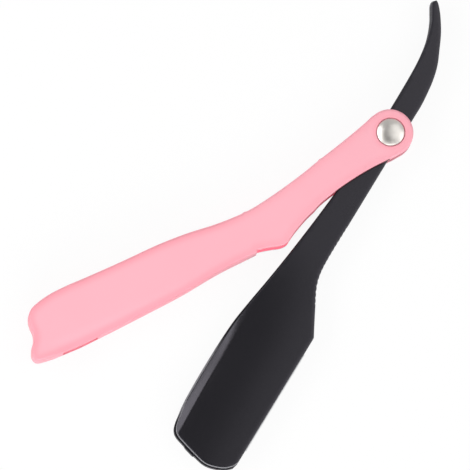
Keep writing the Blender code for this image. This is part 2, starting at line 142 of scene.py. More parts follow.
# Distance from each point to the nearest side of a closed loop, in blocks that keep the arrays small
def distanceTo(points, loop):
    start = loop
    side = np.roll(loop, -1, axis=0) - loop
    square = np.maximum(np.einsum("ij,ij->i", side, side), 1e-12)
    found = np.empty(len(points))
    for first in range(0, len(points), meshing["block"]):
        part = slice(first, first + meshing["block"])
        block = points[part, None, :] - start[None]
        share = np.clip(np.einsum("pij,ij->pi", block, side) / square, 0, 1)
        gap = block - share[..., None] * side[None]
        found[part] = np.sqrt(np.einsum("pij,pij->pi", gap, gap).min(axis=1))
    return found


# Whether each point lies inside a closed loop: a ray from it to the right crosses an odd number of sides
def insideOf(points, loop):
    startX, startY = loop[:, 0], loop[:, 1]
    endX, endY = np.roll(startX, -1), np.roll(startY, -1)
    rise = np.where(endY == startY, 1.0, endY - startY)
    found = np.zeros(len(points), bool)
    for first in range(0, len(points), meshing["block"]):
        part = slice(first, first + meshing["block"])
        x, y = points[part, 0][:, None], points[part, 1][:, None]
        spans = (startY > y) != (endY > y)
        crossing = startX + (y - startY) / rise * (endX - startX)
        found[part] = (np.sum(spans & (x < crossing), axis=1) % 2) == 1
    return found


# A loop moved inwards: each point goes along the mean normal of its two sides. Where it lands nearer the
# loop than it should, the loop has folded, and it is drawn straight between its good neighbours
def insetLoop(loop, distance):
    distance = np.broadcast_to(distance, len(loop)).astype(float)
    side = np.roll(loop, -1, axis=0) - loop
    side /= np.linalg.norm(side, axis=1)[:, None]
    before = np.roll(side, 1, axis=0)
    mean = side + before
    mean /= np.linalg.norm(mean, axis=1)[:, None]
    reach = np.maximum(0.5, np.einsum("ij,ij->i", mean, side))
    moved = loop + np.column_stack([-mean[:, 1], mean[:, 0]]) * (distance / reach)[:, None]
    good = distanceTo(moved, loop) > meshing["goodInset"] * distance - 1e-6
    index = np.arange(len(loop))
    for axis in range(2):
        moved[:, axis] = np.interp(index, index[good], moved[good, axis], period=len(loop))
    return moved


# The region inside a loop as triangles: a grid of points set in offset rows, the loop and the crease
# lines as fixed edges, joined by constrained Delaunay triangulation
def filledRegion(loop, spacing, creases=()):
    low, high = loop.min(axis=0), loop.max(axis=0)
    across = np.arange(low[0], high[0], spacing)
    along = np.arange(low[1], high[1], spacing * meshing["rowPitch"])
    gridX, gridY = np.meshgrid(across, along)
    gridX = gridX + (np.arange(len(along)) % 2)[:, None] * spacing / 2
    inner = np.column_stack([gridX.ravel(), gridY.ravel()])
    inner = inner[insideOf(inner, loop)]
    inner = inner[distanceTo(inner, loop) > spacing * meshing["loopRoom"]]
    for crease in creases:
        path = np.vstack([crease, crease[::-1][1:-1]])
        inner = inner[distanceTo(inner, path) > spacing * meshing["creaseRoom"]]
    points = [loop]
    count = len(loop)
    fixed = [np.column_stack([np.arange(count), np.roll(np.arange(count), -1)])]
    for crease in creases:
        own = np.arange(len(crease) - 1) + count
        fixed.append(np.column_stack([own, own + 1]))
        points.append(crease)
        count += len(crease)
    points.append(inner)
    flat = [Vector(point) for point in np.vstack(points).tolist()]
    insideOnly = 1
    made = delaunay_2d_cdt(flat, np.vstack(fixed).tolist(), [], insideOnly, meshing["joined"])
    return np.array([tuple(corner) for corner in made[0]]), np.array(made[2])


# Bands of quads between rings of equal length, each ring closed on itself
def ringFaces(ringCount, length):
    index = np.arange(ringCount * length).reshape(ringCount, length)
    ahead = np.roll(index, -1, axis=1)
    quads = np.stack([index[:-1], ahead[:-1], ahead[1:], index[1:]], axis=-1)
    return quads.reshape(-1, 4)


# One mesh from several patches of points and faces: doubles merged, then every face turned outwards
def meshFrom(name, patches, sharpAngle=30.0):
    shape = bmesh.new()
    for points, faces in patches:
        mesh = bpy.data.meshes.new("patch")
        mesh.from_pydata((points * place["mm"]).tolist(), [], faces.tolist())
        shape.from_mesh(mesh)
        bpy.data.meshes.remove(mesh)
    bmesh.ops.remove_doubles(shape, verts=shape.verts, dist=2e-7)
    bmesh.ops.dissolve_degenerate(shape, edges=shape.edges, dist=1e-8)
    bmesh.ops.recalc_face_normals(shape, faces=shape.faces)
    mesh = bpy.data.meshes.new(name)
    shape.to_mesh(mesh)
    shape.free()
    mesh.shade_smooth()
    mesh.set_sharp_from_angle(angle=math.radians(sharpAngle))
    return mesh


# A flat loop raised between two height functions, with quarter-round rims: at a share of the quarter
# turn the rim has moved in by radius x (1 - cos) and still lies below the face by radius x (1 - sin)
def plateMesh(name, loop, low, high, lowRim=0.0, highRim=0.0, spacing=1.0, creases=(), segments=8,
              sharpAngle=30.0):
    loop = leftHanded(loop)
    patches = []
    rings = []
    for level, radius, sign, lines in ((low, lowRim, 1, ()), (high, highRim, -1, creases)):
        radius = np.broadcast_to(radius, len(loop)).astype(float)
        count = segments if radius.max() > 0 else 0
        stack = []
        inner = loop
        for part in range(count + 1):
            turn = 0.5 * math.pi * part / max(count, 1)
            share = 1.0 - math.cos(turn) if count else 0.0
            lift = 1.0 - math.sin(turn) if count else 0.0
            inner = insetLoop(loop, radius * share) if share > 0 else loop
            stack.append(np.column_stack([inner, level(inner) + sign * radius * lift]))
        rings.append(stack)
        flat, faces = filledRegion(inner, spacing, [snapped(line, inner) for line in lines])
        patches.append((np.column_stack([flat, level(flat)]), faces))
    walls = rings[0][::-1] + rings[1]
    patches.append((np.vstack(walls), ringFaces(len(walls), len(loop))))
    return meshFrom(name, patches, sharpAngle)


# A crease whose ends are moved onto the nearest points of the loop, with what lay outside left out
def snapped(line, loop):
    line = line[insideOf(line, loop) & (distanceTo(line, loop) > meshing["creaseEndRoom"])]
    for end in (0, -1):
        near = loop[np.argmin(np.linalg.norm(loop - line[end], axis=1))]
        if np.linalg.norm(near - line[end]) < meshing["creaseEndReach"]:
            line = np.vstack([near, line]) if end == 0 else np.vstack([line, near])
    return line


# A profile of radii and heights turned about an upright axis; its ends on the axis close to a point
def turnedMesh(name, profile, count=96, center=(0.0, 0.0)):
    profile = np.asarray(profile, float)
    angle = 2 * math.pi * np.arange(count) / count
    rings = np.stack([
        center[0] + profile[:, :1] * np.cos(angle),
        center[1] + profile[:, :1] * np.sin(angle),
        np.broadcast_to(profile[:, 1:], (len(profile), count)),
    ], axis=-1)
    return meshFrom(name, [(rings.reshape(-1, 3), ringFaces(len(profile), count))])


# A plain cylinder about the rivet's axis that cuts through both faces
def boreTool(name, radius):
    low, high = heights["cutLow"], heights["cutHigh"]
    return turnedMesh(name, [(0, low), (radius, low), (radius, high), (0, high)])


# The mesh's points put in their place: turned with the arm if they are the arm's, then moved to the pivot
def addPiece(mesh, onArm=False, show=True):
    turn = math.radians(place["openAngle"]) if onArm else 0.0
    move = Vector((place["pivot"][0] * place["mm"], place["pivot"][1] * place["mm"], 0.0))
    mesh.transform(Matrix.Translation(move) @ Matrix.Rotation(turn, 4, "Z"))
    made = bpy.data.objects.new(mesh.name, mesh)
    bpy.context.scene.collection.objects.link(made)
    made.hide_render = not show
    return made


# Boolean modifiers with the exact solver, applied at once, and their tools removed
def carve(piece, tools, sharpAngle=30.0):
    for tool, operation in tools:
        change = piece.modifiers.new(tool.name, "BOOLEAN")
        change.object = tool
        change.operation = operation
        change.solver = "EXACT"
    bpy.context.view_layer.update()
    graph = bpy.context.evaluated_depsgraph_get()
    mesh = bpy.data.meshes.new_from_object(piece.evaluated_get(graph))
    piece.modifiers.clear()
    mesh.name = piece.name
    piece.data = mesh
    for tool, operation in tools:
        bpy.data.objects.remove(tool)
    mesh.shade_smooth()
    mesh.set_sharp_from_angle(angle=math.radians(sharpAngle))
    return piece


# A height function that gives the same height everywhere
def flatLevel(height):
    return lambda points: np.full(len(points), float(height))


# A socket that takes part in Python sums; each sign adds one Math node
class Flow:
    def __init__(self, board, socket):
        self.board, self.socket = board, socket

    def math(self, operation, first, second=0.0):
        return self.board.node("ShaderNodeMath", {"operation": operation}, {0: first, 1: second})

    def __add__(self, other):
        return self.math("ADD", self, other)

    def __radd__(self, other):
        return self.math("ADD", other, self)

    def __sub__(self, other):
        return self.math("SUBTRACT", self, other)

    def __rsub__(self, other):
        return self.math("SUBTRACT", other, self)

    def __mul__(self, other):
        return self.math("MULTIPLY", self, other)

    def __rmul__(self, other):
        return self.math("MULTIPLY", other, self)

    def __truediv__(self, other):
        return self.math("DIVIDE", self, other)

    def __pow__(self, other):
        return self.math("POWER", self, other)


# One material's board of nodes: node() makes any node, sets its settings and then fills its sockets
class Board:
    def __init__(self, name):
        self.material = bpy.data.materials.new(name)
        self.material.use_nodes = True
        self.tree = self.material.node_tree
        self.shader = self.tree.nodes["Principled BSDF"]
        self.place = Flow(self, self.tree.nodes.new("ShaderNodeTexCoord").outputs["Object"])

    # A Flow is linked to its socket, and any other value is set on it
    def fill(self, node, sockets):
        for key, value in sockets.items():
            if isinstance(value, Flow):
                self.tree.links.new(value.socket, node.inputs[key])
            else:
                node.inputs[key].default_value = value

    def node(self, kind, settings=None, sockets=None, output=0):
        made = self.tree.nodes.new(kind)
        for key, value in (settings or {}).items():
            setattr(made, key, value)
        self.fill(made, sockets or {})
        return Flow(self, made.outputs[output])

    # Noise over the object's own places in metres, or over places that are given
    def noise(self, scale, detail=2.0, roughness=0.5, vector=None):
        return self.node("ShaderNodeTexNoise", {}, {
            "Vector": vector or self.place, "Scale": scale, "Detail": detail, "Roughness": roughness})

    # A place squeezed along its axes, so that a texture is drawn out where the factor is small
    def stretched(self, factors, spot=None):
        return self.node("ShaderNodeMapping", {}, {"Vector": spot or self.place, "Scale": factors})

    # Places about the rivet in the arm's own frame: moved back from the pivot, then turned back by the
    # opening
    def onArm(self):
        x, y = place["pivot"]
        return self.node("ShaderNodeMapping", {"vector_type": "TEXTURE"}, {
            "Vector": self.place, "Location": (x * place["mm"], y * place["mm"], 0.0),
            "Rotation": (0.0, 0.0, math.radians(place["openAngle"]))})

    # The numbers that mark() or markInner() put on the piece
    def attribute(self, name):
        return self.node("ShaderNodeAttribute", {"attribute_name": name}, {}, "Fac")

    # One colour where the factor is 0 and the other where it is 1
    def mixColor(self, factor, one, other):
        return self.node("ShaderNodeMix", {"data_type": "RGBA"}, {0: factor, 6: one, 7: other}, 2)

    # Heights times a distance in metres that bend the normal, over a bump beneath them if one is given
    def bump(self, height, strength, distance, under=None):
        sockets = {"Height": height, "Strength": strength, "Distance": distance}
        if under:
            sockets["Normal"] = under
        return self.node("ShaderNodeBump", {}, sockets)

    # The climb of eased() over a range of values: s s (3 - 2 s)
    def eased(self, value, start, end):
        return self.node("ShaderNodeMapRange", {"interpolation_type": "SMOOTHSTEP"}, {
            "Value": value, "From Min": start, "From Max": end})

    # The texture of a moulding: soft flow clouds, the roughness that they and the pores add to, and the
    # height of its grain and pores
    def mouldTexture(self, look):
        clouds = self.noise(look["cloudScale"], 3.0)
        grain = self.noise(look["grainScale"], 2.0)
        pores = self.noise(look["poreScale"], 3.0, 0.6)
        roughness = look["roughness"] + look["poreRoughness"] * pores + look["cloudRoughness"] * clouds
        return clouds, roughness, grain * 0.6 + pores * 0.4

    # A colour between two that the clouds mix, then each tint in turn by its attribute times its share
    def tinted(self, clouds, look):
        one, other = look["tones"]
        tone = self.mixColor(clouds, shade(*one), shade(*other))
        for name, share, color in look["tints"]:
            tone = self.mixColor(self.attribute(name) * share, tone, shade(*color))
        return tone

    # The shader's sockets under plain names
    def finish(self, **sockets):
        names = {"color": "Base Color", "roughness": "Roughness", "metallic": "Metallic",
                 "normal": "Normal", "specular": "Specular IOR Level", "tint": "Specular Tint",
                 "glow": "Emission Color", "glowStrength": "Emission Strength"}
        self.fill(self.shader, {names[key]: value for key, value in sockets.items()})
        return self.material

    # The factor's share of the surface is a matte one without gloss
    def matte(self, factor, color):
        matteShade = self.node("ShaderNodeBsdfPrincipled", {}, {
            "Base Color": color, "Roughness": 1.0, "Specular IOR Level": 0.0})
        glossy = Flow(self, self.shader.outputs[0])
        mixed = self.node("ShaderNodeMixShader", {}, {0: factor, 1: glossy, 2: matteShade})
        output = next(node for node in self.tree.nodes if node.type == "OUTPUT_MATERIAL")
        self.fill(output, {"Surface": mixed})


# A colour with full cover
def shade(red, green, blue):
    return (red, green, blue, 1.0)


# Camera: over the razor, a long way off, leaning a little so that the handle's lower edge shows
camera = {
    "roll": 30.438,
    "lean": (-0.05, -0.12),
    "pixelsPerMm": 3.062,
    "pivotPixel": (389.92, 133.85),
    "distance": 6000.0,
    "imageSize": 470,
    "sensor": 36.0,
    "pivotHeight": 5.0,
    "clip": (0.1, 20.0),
}


# The camera's right, up and backward directions: backward leans off the vertical, right is level with the
# image's own turn, and up is square to both
def cameraAxes():
    roll = math.radians(camera["roll"])
    right = Vector((math.cos(roll), -math.sin(roll), 0.0))
    up = Vector((math.sin(roll), math.cos(roll), 0.0))
    leanRight, leanUp = camera["lean"]
    backward = (right * leanRight + up * leanUp + Vector((0.0, 0.0, 1.0))).normalized()
    right = (right - backward * right.dot(backward)).normalized()
    return right, backward.cross(right), backward


# The camera stands off the point that falls in the image's middle, so that the pivot falls on its pixel;
# the lens is pixels a millimetre x distance x sensor / image
def addCamera():
    right, up, backward = cameraAxes()
    half = camera["imageSize"] / 2
    shiftRight = (half - camera["pivotPixel"][0]) / camera["pixelsPerMm"]
    shiftUp = (camera["pivotPixel"][1] - half) / camera["pixelsPerMm"]
    pivot = Vector((*place["pivot"], camera["pivotHeight"]))
    spot = pivot + right * shiftRight + up * shiftUp + backward * camera["distance"]
    data = bpy.data.cameras.new("camera")
    data.sensor_width = camera["sensor"]
    data.lens = camera["pixelsPerMm"] * camera["distance"] / camera["imageSize"] * camera["sensor"]
    data.clip_start, data.clip_end = camera["clip"]
    made = bpy.data.objects.new("camera", data)
    bpy.context.scene.collection.objects.link(made)
    turn = Matrix((right, up, backward)).transposed()
    made.matrix_world = Matrix.Translation(spot * place["mm"]) @ turn.to_4x4()
    bpy.context.scene.camera = made


addCamera()
print("camera placed")

# Light and floor: a soft white tent, lamps to the razor's left, foot and right, and one high over it
studio = {
    "floorSize": 6.0,
    # a hair below the handle's back face, in millimetres
    "floorDrop": 0.04,
    "floorGlow": 0.92,
    "floorColor": 0.90,
    # the tent's light near the horizon and the zenith, and the heights between which it changes
    "horizon": 0.62,
    "zenith": 0.24,
    "tentChange": (0.50, 0.95),
    # each lamp: place in image right, image up and height in metres, width, depth and watts
    "lamps": (
        ("lampLeft", (-0.60, -0.02, 0.58), 0.34, 0.95, 3.1),
        ("lampFoot", (0.05, -0.85, 0.50), 1.10, 0.30, 4.6),
        ("lampRight", (0.90, -0.20, 0.60), 0.40, 0.90, 1.7),
        ("lampOver", (0.50, 0.20, 1.10), 0.90, 1.40, 3.8),
    ),
    # a dark card that only gloss sees: its corners in image right and up, and its height
    "card": ((-0.14, 0.02), (-0.50, -0.44), (0.18, -0.56)),
    "cardHeight": 0.70,
}


# A rectangular lamp that faces the frame's origin: its back points along the line from there, and its depth
# lies as near to the image's up as that leaves
def addLamp(name, spot, width, depth, watts):
    right, up = cameraAxes()[:2]
    data = bpy.data.lights.new(name, "AREA")
    data.shape = "RECTANGLE"
    data.size = width
    data.size_y = depth
    data.energy = watts
    lamp = bpy.data.objects.new(name, data)
    bpy.context.scene.collection.objects.link(lamp)
    center = right * spot[0] + up * spot[1] + Vector((0.0, 0.0, spot[2]))
    away = center.normalized()
    upright = (up - away * up.dot(away)).normalized()
    turn = Matrix((upright.cross(away), upright, away)).transposed()
    lamp.matrix_world = Matrix.Translation(center) @ turn.to_4x4()


# The tent round the razor: its light falls from the horizon's level to the zenith's, where the camera
# looks in
def addTent():
    world = bpy.data.worlds.new("tent")
    bpy.context.scene.world = world
    world.use_nodes = True
    tree = world.node_tree
    spot = tree.nodes.new("ShaderNodeTexCoord")
    parts = tree.nodes.new("ShaderNodeSeparateXYZ")
    level = tree.nodes.new("ShaderNodeMapRange")
    level.interpolation_type = "SMOOTHSTEP"
    values = (*studio["tentChange"], studio["horizon"], studio["zenith"])
    for name, value in zip(("From Min", "From Max", "To Min", "To Max"), values):
        level.inputs[name].default_value = value
    tree.links.new(spot.outputs["Generated"], parts.inputs[0])
    tree.links.new(parts.outputs["Z"], level.inputs["Value"])
    tree.links.new(level.outputs[0], tree.nodes["Background"].inputs["Color"])


# The dark card gives the domed cap something dark to reflect, as the tent's opening does
def addCard():
    right, up = cameraAxes()[:2]
    corners = [right * x + up * y for x, y in studio["card"]]
    mesh = bpy.data.meshes.new("card")
    mesh.from_pydata([(corner.x, corner.y, studio["cardHeight"]) for corner in corners], [], [(0, 1, 2)])
    board = Board("cardBlack")
    mesh.materials.append(board.finish(color=shade(0.02, 0.02, 0.02), roughness=0.9, specular=0.0))
    card = bpy.data.objects.new("card", mesh)
    bpy.context.scene.collection.objects.link(card)
    card.visible_camera = False
    card.visible_diffuse = False
    card.visible_shadow = False


# The floor is plain white to the eye and to gloss and glass, with part of its own lit surface left in,
# which keeps the razor's shadow
def floorMaterial():
    board = Board("floorWhite")
    level = studio["floorColor"]
    board.finish(color=shade(level, level, level), roughness=0.9, specular=0.0)
    path = board.tree.nodes.new("ShaderNodeLightPath")
    seen = [Flow(board, path.outputs[name])
            for name in ("Is Camera Ray", "Is Glossy Ray", "Is Transmission Ray")]
    glow = board.tree.nodes.new("ShaderNodeEmission")
    share = board.node("ShaderNodeMath", {"operation": "MINIMUM"}, {0: seen[0] + seen[1] + seen[2], 1: 1.0})
    mixed = board.node("ShaderNodeMixShader", {}, {
        0: share * studio["floorGlow"],
        1: Flow(board, board.shader.outputs[0]),
        2: Flow(board, glow.outputs[0]),
    })
    output = next(node for node in board.tree.nodes if node.type == "OUTPUT_MATERIAL")
    board.fill(output, {"Surface": mixed})
    return board.material


# A square floor about the frame's origin, a hair below the razor
def addFloor():
    half = studio["floorSize"] / 2
    mesh = bpy.data.meshes.new("floor")
    drop = studio["floorDrop"] * place["mm"]
    corners = [(-half, -half, -drop), (half, -half, -drop), (half, half, -drop), (-half, half, -drop)]
    mesh.from_pydata(corners, [], [(0, 1, 2, 3)])
    mesh.materials.append(floorMaterial())
    floor = bpy.data.objects.new("floor", mesh)
    bpy.context.scene.collection.objects.link(floor)


for lamp in studio["lamps"]:
    addLamp(*lamp)
addTent()
addCard()
addFloor()
print("studio lit")


# Satin pink: each tint has an attribute's name, the share of it that shows and its colour; the tints are
# painted shade, deeper pink on the rims, below the soft ridge and on the side walls
pinkLook = {
    "tones": ((0.905, 0.418, 0.484), (0.915, 0.440, 0.508)),
    "tints": (
        ("rim", 0.65, (0.905, 0.310, 0.375)),
        ("slope", 0.45, (0.905, 0.330, 0.400)),
        ("side", 0.30, (0.905, 0.310, 0.380)),
    ),
    # inner and glow: a painted red and a painted glow in the channel, for light through the walls
    "inner": (0.900, 0.260, 0.340),
    "innerPower": 0.5,
    "glow": (0.420, 0.080, 0.125),
    # under: a painted shadow under the neck's edge, where the arm passes beneath
    "under": (0.110, 0.010, 0.020),
    "cloudScale": 38.0,
    "grainScale": 5200.0,
    "poreScale": 1500.0,
    "roughness": 0.44,
    "poreRoughness": 0.07,
    "cloudRoughness": 0.04,
    "bump": (0.16, 0.00006),
    "gloss": 0.35,
}


# A fine mould grain and faint flow clouds; painted shade, deeper pink, on the rims, below the soft ridge and
# on the side walls; a painted red and glow in the channel for light through the walls; painted shadow under
# the neck
def pinkFinish():
    board = Board("satinPink")
    clouds, roughness, height = board.mouldTexture(pinkLook)
    tone = board.tinted(clouds, pinkLook)
    # Painted red and painted glow in the channel, for light through the walls
    inner = board.attribute("inner")
    tone = board.mixColor(inner ** pinkLook["innerPower"], tone, shade(*pinkLook["inner"]))
    # A painted shadow under the neck's edge
    tone = board.mixColor(board.attribute("under"), tone, shade(*pinkLook["under"]))
    return board.finish(
        color=tone,
        glow=board.mixColor(inner, shade(0.0, 0.0, 0.0), shade(*pinkLook["glow"])),
        glowStrength=1.0,
        roughness=roughness,
        normal=board.bump(height, *pinkLook["bump"]),
        specular=pinkLook["gloss"],
    )


# Satin black
blackLook = {
    "tones": ((0.0019, 0.0019, 0.0029), (0.0027, 0.0027, 0.0038)),
    "tints": (
        # rim: paler along the rims, a painted sheen with rubbing
        ("rim", 0.3, (0.008, 0.008, 0.011)),
        # glint: a painted highlight on thin rims
        ("paintedGlint", 1.0, (0.330, 0.330, 0.350)),
        # side: painted shade on the side walls
        ("side", 1.0, (0.0025, 0.0025, 0.0035)),
    ),
    # The side walls' painted shade: a dark matte colour, and its share
    "matteShade": (0.0045, 0.0045, 0.0060),
    "matteShadeShare": 0.85,
    "cloudScale": 60.0,
    "grainScale": 6000.0,
    "poreScale": 1700.0,
    "roughness": 0.22,
    "poreRoughness": 0.05,
    "cloudRoughness": 0.03,
    "sideRoughness": 0.40,
    "bump": (0.12, 0.00005),
    "gloss": 0.71,
    "glossTint": (0.92, 0.88, 1.0),
}

# Where the head's face leans: along the arm from start to full, and across it from the edge over the reach,
# in millimetres. Lean is the angle in degrees that t^3 alone would reach; the face leans by nearly half of it
head = {
    "edge": 13.5,
    "reach": 22.4,
    "start": 44.0,
    "full": 88.0,
    "lean": 13.0,
}


# Heights that lean the head's face away from its edge: they fall with t^3 - t^9 / 3, t being the share of
# the reach, so the lean grows towards the facet and ends softly at its crease
def headLean(board):
    mm = place["mm"]
    turned = board.onArm()
    along = board.node("ShaderNodeSeparateXYZ", {}, {0: turned}, 0)
    across = board.node("ShaderNodeSeparateXYZ", {}, {0: turned}, 1)
    way = (across + head["edge"] * mm) / (head["reach"] * mm)
    way = board.node("ShaderNodeMath", {"operation": "MAXIMUM"}, {0: way, 1: 0.0})
    way = board.node("ShaderNodeMath", {"operation": "MINIMUM"}, {0: way, 1: 1.0})
    share = board.eased(along * -1.0, head["start"] * mm, head["full"] * mm)
    bend = math.tan(math.radians(head["lean"])) * head["reach"] * mm / 3
    return board.bump((way ** 3.0 - way ** 9.0 / 3.0) * share * -bend, 1.0, 1.0)


# Grain as on the handle; paler rims, a painted sheen with rubbing from fingers; painted highlights on thin
# rims at the tip, the flange and the tail; and painted shade, dark and matte, on the side walls
def blackFinish():
    board = Board("satinBlack")
    clouds, roughness, height = board.mouldTexture(blackLook)
    side = board.attribute("side")
    # The side walls are mixed into a dark matte surface, painted shade
    board.matte(side * blackLook["matteShadeShare"], shade(*blackLook["matteShade"]))
    return board.finish(
        color=board.tinted(clouds, blackLook),
        roughness=roughness + blackLook["sideRoughness"] * side,
        normal=board.bump(height, *blackLook["bump"], headLean(board)),
        specular=blackLook["gloss"],
        tint=shade(*blackLook["glossTint"]),
    )


# Polished nickel
nickelLook = {
    "tones": ((0.68, 0.65, 0.61), (0.80, 0.77, 0.73)),
    "waveScale": 260.0,
    "lineScale": 2600.0,
    "lineStretch": (1.0, 0.16, 1.0),
    "hazeScale": 900.0,
    "roughness": 0.29,
    "hazeRoughness": 0.12,
    "bump": (0.22, 0.00012),
}


# Faint polishing lines, a thin haze, and a soft waviness from pressing
def nickelFinish():
    board = Board("polishedNickel")
    waves = board.noise(nickelLook["waveScale"], 2.0)
    lines = board.noise(nickelLook["lineScale"], 4.0, 0.7, board.stretched(nickelLook["lineStretch"]))
    haze = board.noise(nickelLook["hazeScale"], 3.0)
    wornAndSheen, bright = nickelLook["tones"]
    return board.finish(
        color=board.mixColor(haze, shade(*wornAndSheen), shade(*bright)),
        metallic=1.0,
        roughness=nickelLook["roughness"] + nickelLook["hazeRoughness"] * haze,
        normal=board.bump(waves * 0.8 + lines * 0.2, *nickelLook["bump"]),
    )


# Blade steel
steelLook = {
    "tones": ((0.50, 0.51, 0.52), (0.60, 0.61, 0.62)),
    "bevelTone": (0.74, 0.75, 0.76),
    "rolledScale": 3200.0,
    "rolledStretch": (0.02, 1.0, 1.0),
    "groundScale": 5200.0,
    "groundStretch": (1.0, 0.03, 1.0),
    "roughness": 0.22,
    "rolledRoughness": 0.10,
    "bevelRoughness": 0.06,
    "bump": (0.20, 0.00004),
}


# Fine rolling lines along the blade, and on its ground edge closer, brighter ones that run across it
def steelFinish():
    board = Board("groundSteel")
    bevel = board.attribute("rim")
    turned = board.onArm()
    along = board.stretched(steelLook["rolledStretch"], turned)
    across = board.stretched(steelLook["groundStretch"], turned)
    rolled = board.noise(steelLook["rolledScale"], 3.0, 0.6, along)
    ground = board.noise(steelLook["groundScale"], 3.0, 0.6, across)
    dark, light = steelLook["tones"]
    tone = board.mixColor(rolled, shade(*dark), shade(*light))
    roughness = steelLook["roughness"] + steelLook["rolledRoughness"] * rolled
    return board.finish(
        color=board.mixColor(bevel, tone, shade(*steelLook["bevelTone"])),
        metallic=1.0,
        roughness=roughness + steelLook["bevelRoughness"] * bevel,
        normal=board.bump(rolled * (1 - bevel) + ground * bevel, *steelLook["bump"]),
    )


pink = pinkFinish()
black = blackFinish()
nickel = nickelFinish()
steel = steelFinish()
print("finishes made")


# A piece's vertices about the rivet in millimetres, turned back with the arm if they are the arm's
def spotsOf(piece, onArm=False):
    flat = np.empty(len(piece.data.vertices) * 3)
    piece.data.vertices.foreach_get("co", flat)
    spots = flat.reshape(-1, 3) / place["mm"] - (*place["pivot"], 0.0)
    if onArm:
        turn = math.radians(place["openAngle"])
        back = np.array([[math.cos(turn), -math.sin(turn)], [math.sin(turn), math.cos(turn)]])
        spots[:, :2] = spots[:, :2] @ back
    return spots


# One number for each vertex, under the name that a finish reads
def mark(piece, name, values):
    made = piece.data.attributes.new(name, "FLOAT", "POINT")
    made.data.foreach_set("value", values.astype(np.float32))


# A value beside a line: 1 up to the first distance from it, then an eased fall to 0 at the second
def beside(spots, line, full, reach):
    path = np.vstack([line, line[::-1][1:-1]])
    return eased((reach - distanceTo(spots[:, :2], path)) / (reach - full))


# A finished piece gets its material and the body that it moves with, and the nodes it stands for are hidden;
# its slot name is not used
def dress(piece, finish, body, slotName, *nodes):
    piece.data.materials.clear()
    piece.data.materials.append(finish)
    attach(piece, body)
    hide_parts(*nodes)


# Handle: two walls, the web along the lower edge, the ramp and the end wall. A pair named a blend or a run
# out is two places in millimetres between which something climbs from nothing to all
handle = {
    "reach": 138.45,
    "width": 19.1,
    "rounding": 1.0,
    "thinRounding": 0.45,
    "thinFall": 0.6,
    "bossRounding": 0.8,
    "bossBlend": (-62.0, -42.0),
    "neckRounding": 0.45,
    "neckBlend": (-62.0, -58.0),
    "neckRunOut": (-3.0, -8.0),
    "neckBelow": -3.0,
    "bossRadius": 7.7,
    "bossShift": 0.3,
    "webStart": 0.418,
    "web": 1.6,
    "channelReach": 131.3,
    "rampLowEnd": 0.475,
    "rampHighEnd": 0.342,
    "openRoom": 4.0,
    "ridgeEnd": 0.965,
    "ridgeFade": 0.12,
    "ridgeWidth": 4.5,
    "ridgeDepth": 1.1,
    "ridgeSoftness": 0.16,
    "bumps": (-54.7, -24.7),
    "bumpHeight": 0.22,
    "bumpWidth": 0.5,
    "windowMiddle": -122.8,
    "windowLength": 12.5,
    "windowSides": (-19.0, -5.7),
    "boreRadius": 2.2,
    "recessRounding": 0.14,
    "step": 0.55,
    "endStep": 0.35,
}


# A smooth curve through places given as shares of the handle's reach, backwards from the rivet, and width
def handleCurve(shares, step=None):
    points = np.array(shares) * (-handle["reach"], handle["width"])
    return smoothCurve(points, step or handle["step"])


# The upper edge, with two small moulding bumps of height exp(-(distance / width) squared)
def handleUpperEdge():
    curve = handleCurve((
        (0.021, 0.393), (0.040, 0.361), (0.065, 0.328), (0.112, 0.274), (0.184, 0.204), (0.235, 0.148),
        (0.306, 0.096), (0.377, 0.074), (0.424, 0.105), (0.470, 0.160), (0.540, 0.274), (0.611, 0.355),
        (0.705, 0.420), (0.798, 0.496), (0.846, 0.540), (0.890, 0.560), (0.924, 0.540), (0.946, 0.498),
        (0.958, 0.425), (0.965, 0.334), (0.9685, 0.233)))
    for bump in handle["bumps"]:
        away = (curve[:, 0] - bump) / handle["bumpWidth"]
        curve[:, 1] += handle["bumpHeight"] * np.exp(-away ** 2)
    return curve


# The scooped far end, down to the corner where the web begins
def handleEnd():
    return handleCurve((
        (0.9685, 0.233), (0.970, 0.130), (0.978, 0.014), (0.991, -0.085), (0.9987, -0.185),
        (0.9996, -0.261), (0.995, -0.318), (0.984, -0.353)), handle["endStep"])


# The lower edge along the web, from the far corner to where the web's ramp begins
def handleWebEdge():
    return handleCurve((
        (0.984, -0.353), (0.958, -0.397), (0.930, -0.427), (0.890, -0.467), (0.845, -0.491),
        (0.797, -0.514), (0.749, -0.533), (0.701, -0.552), (0.654, -0.570), (0.606, -0.580),
        (0.558, -0.575), (0.511, -0.578), (0.463, -0.600), (0.418, -0.622)))


# The belly's end with its small hook, and the neck's lower edge as far as the boss
def handleNeckEdge():
    return handleCurve((
        (0.415, -0.588), (0.396, -0.630), (0.3775, -0.680), (0.361, -0.728),
        (0.3445, -0.738), (0.3305, -0.690), (0.309, -0.622), (0.272, -0.530), (0.249, -0.490),
        (0.228, -0.444), (0.184, -0.398), (0.135, -0.372), (0.097, -0.366), (0.072, -0.371),
        (0.045, -0.388), (0.024, -0.401)))


# The whole outline: the four edges and the round boss
def handleLoop():
    boss = arcCurve((-handle["bossShift"], 0.0), handle["bossRadius"], 265, 455, 80)
    loop = np.vstack([handleUpperEdge(), handleEnd(), handleWebEdge(), handleNeckEdge(), boss])
    return leftHanded(refined(loop, handle["step"]))


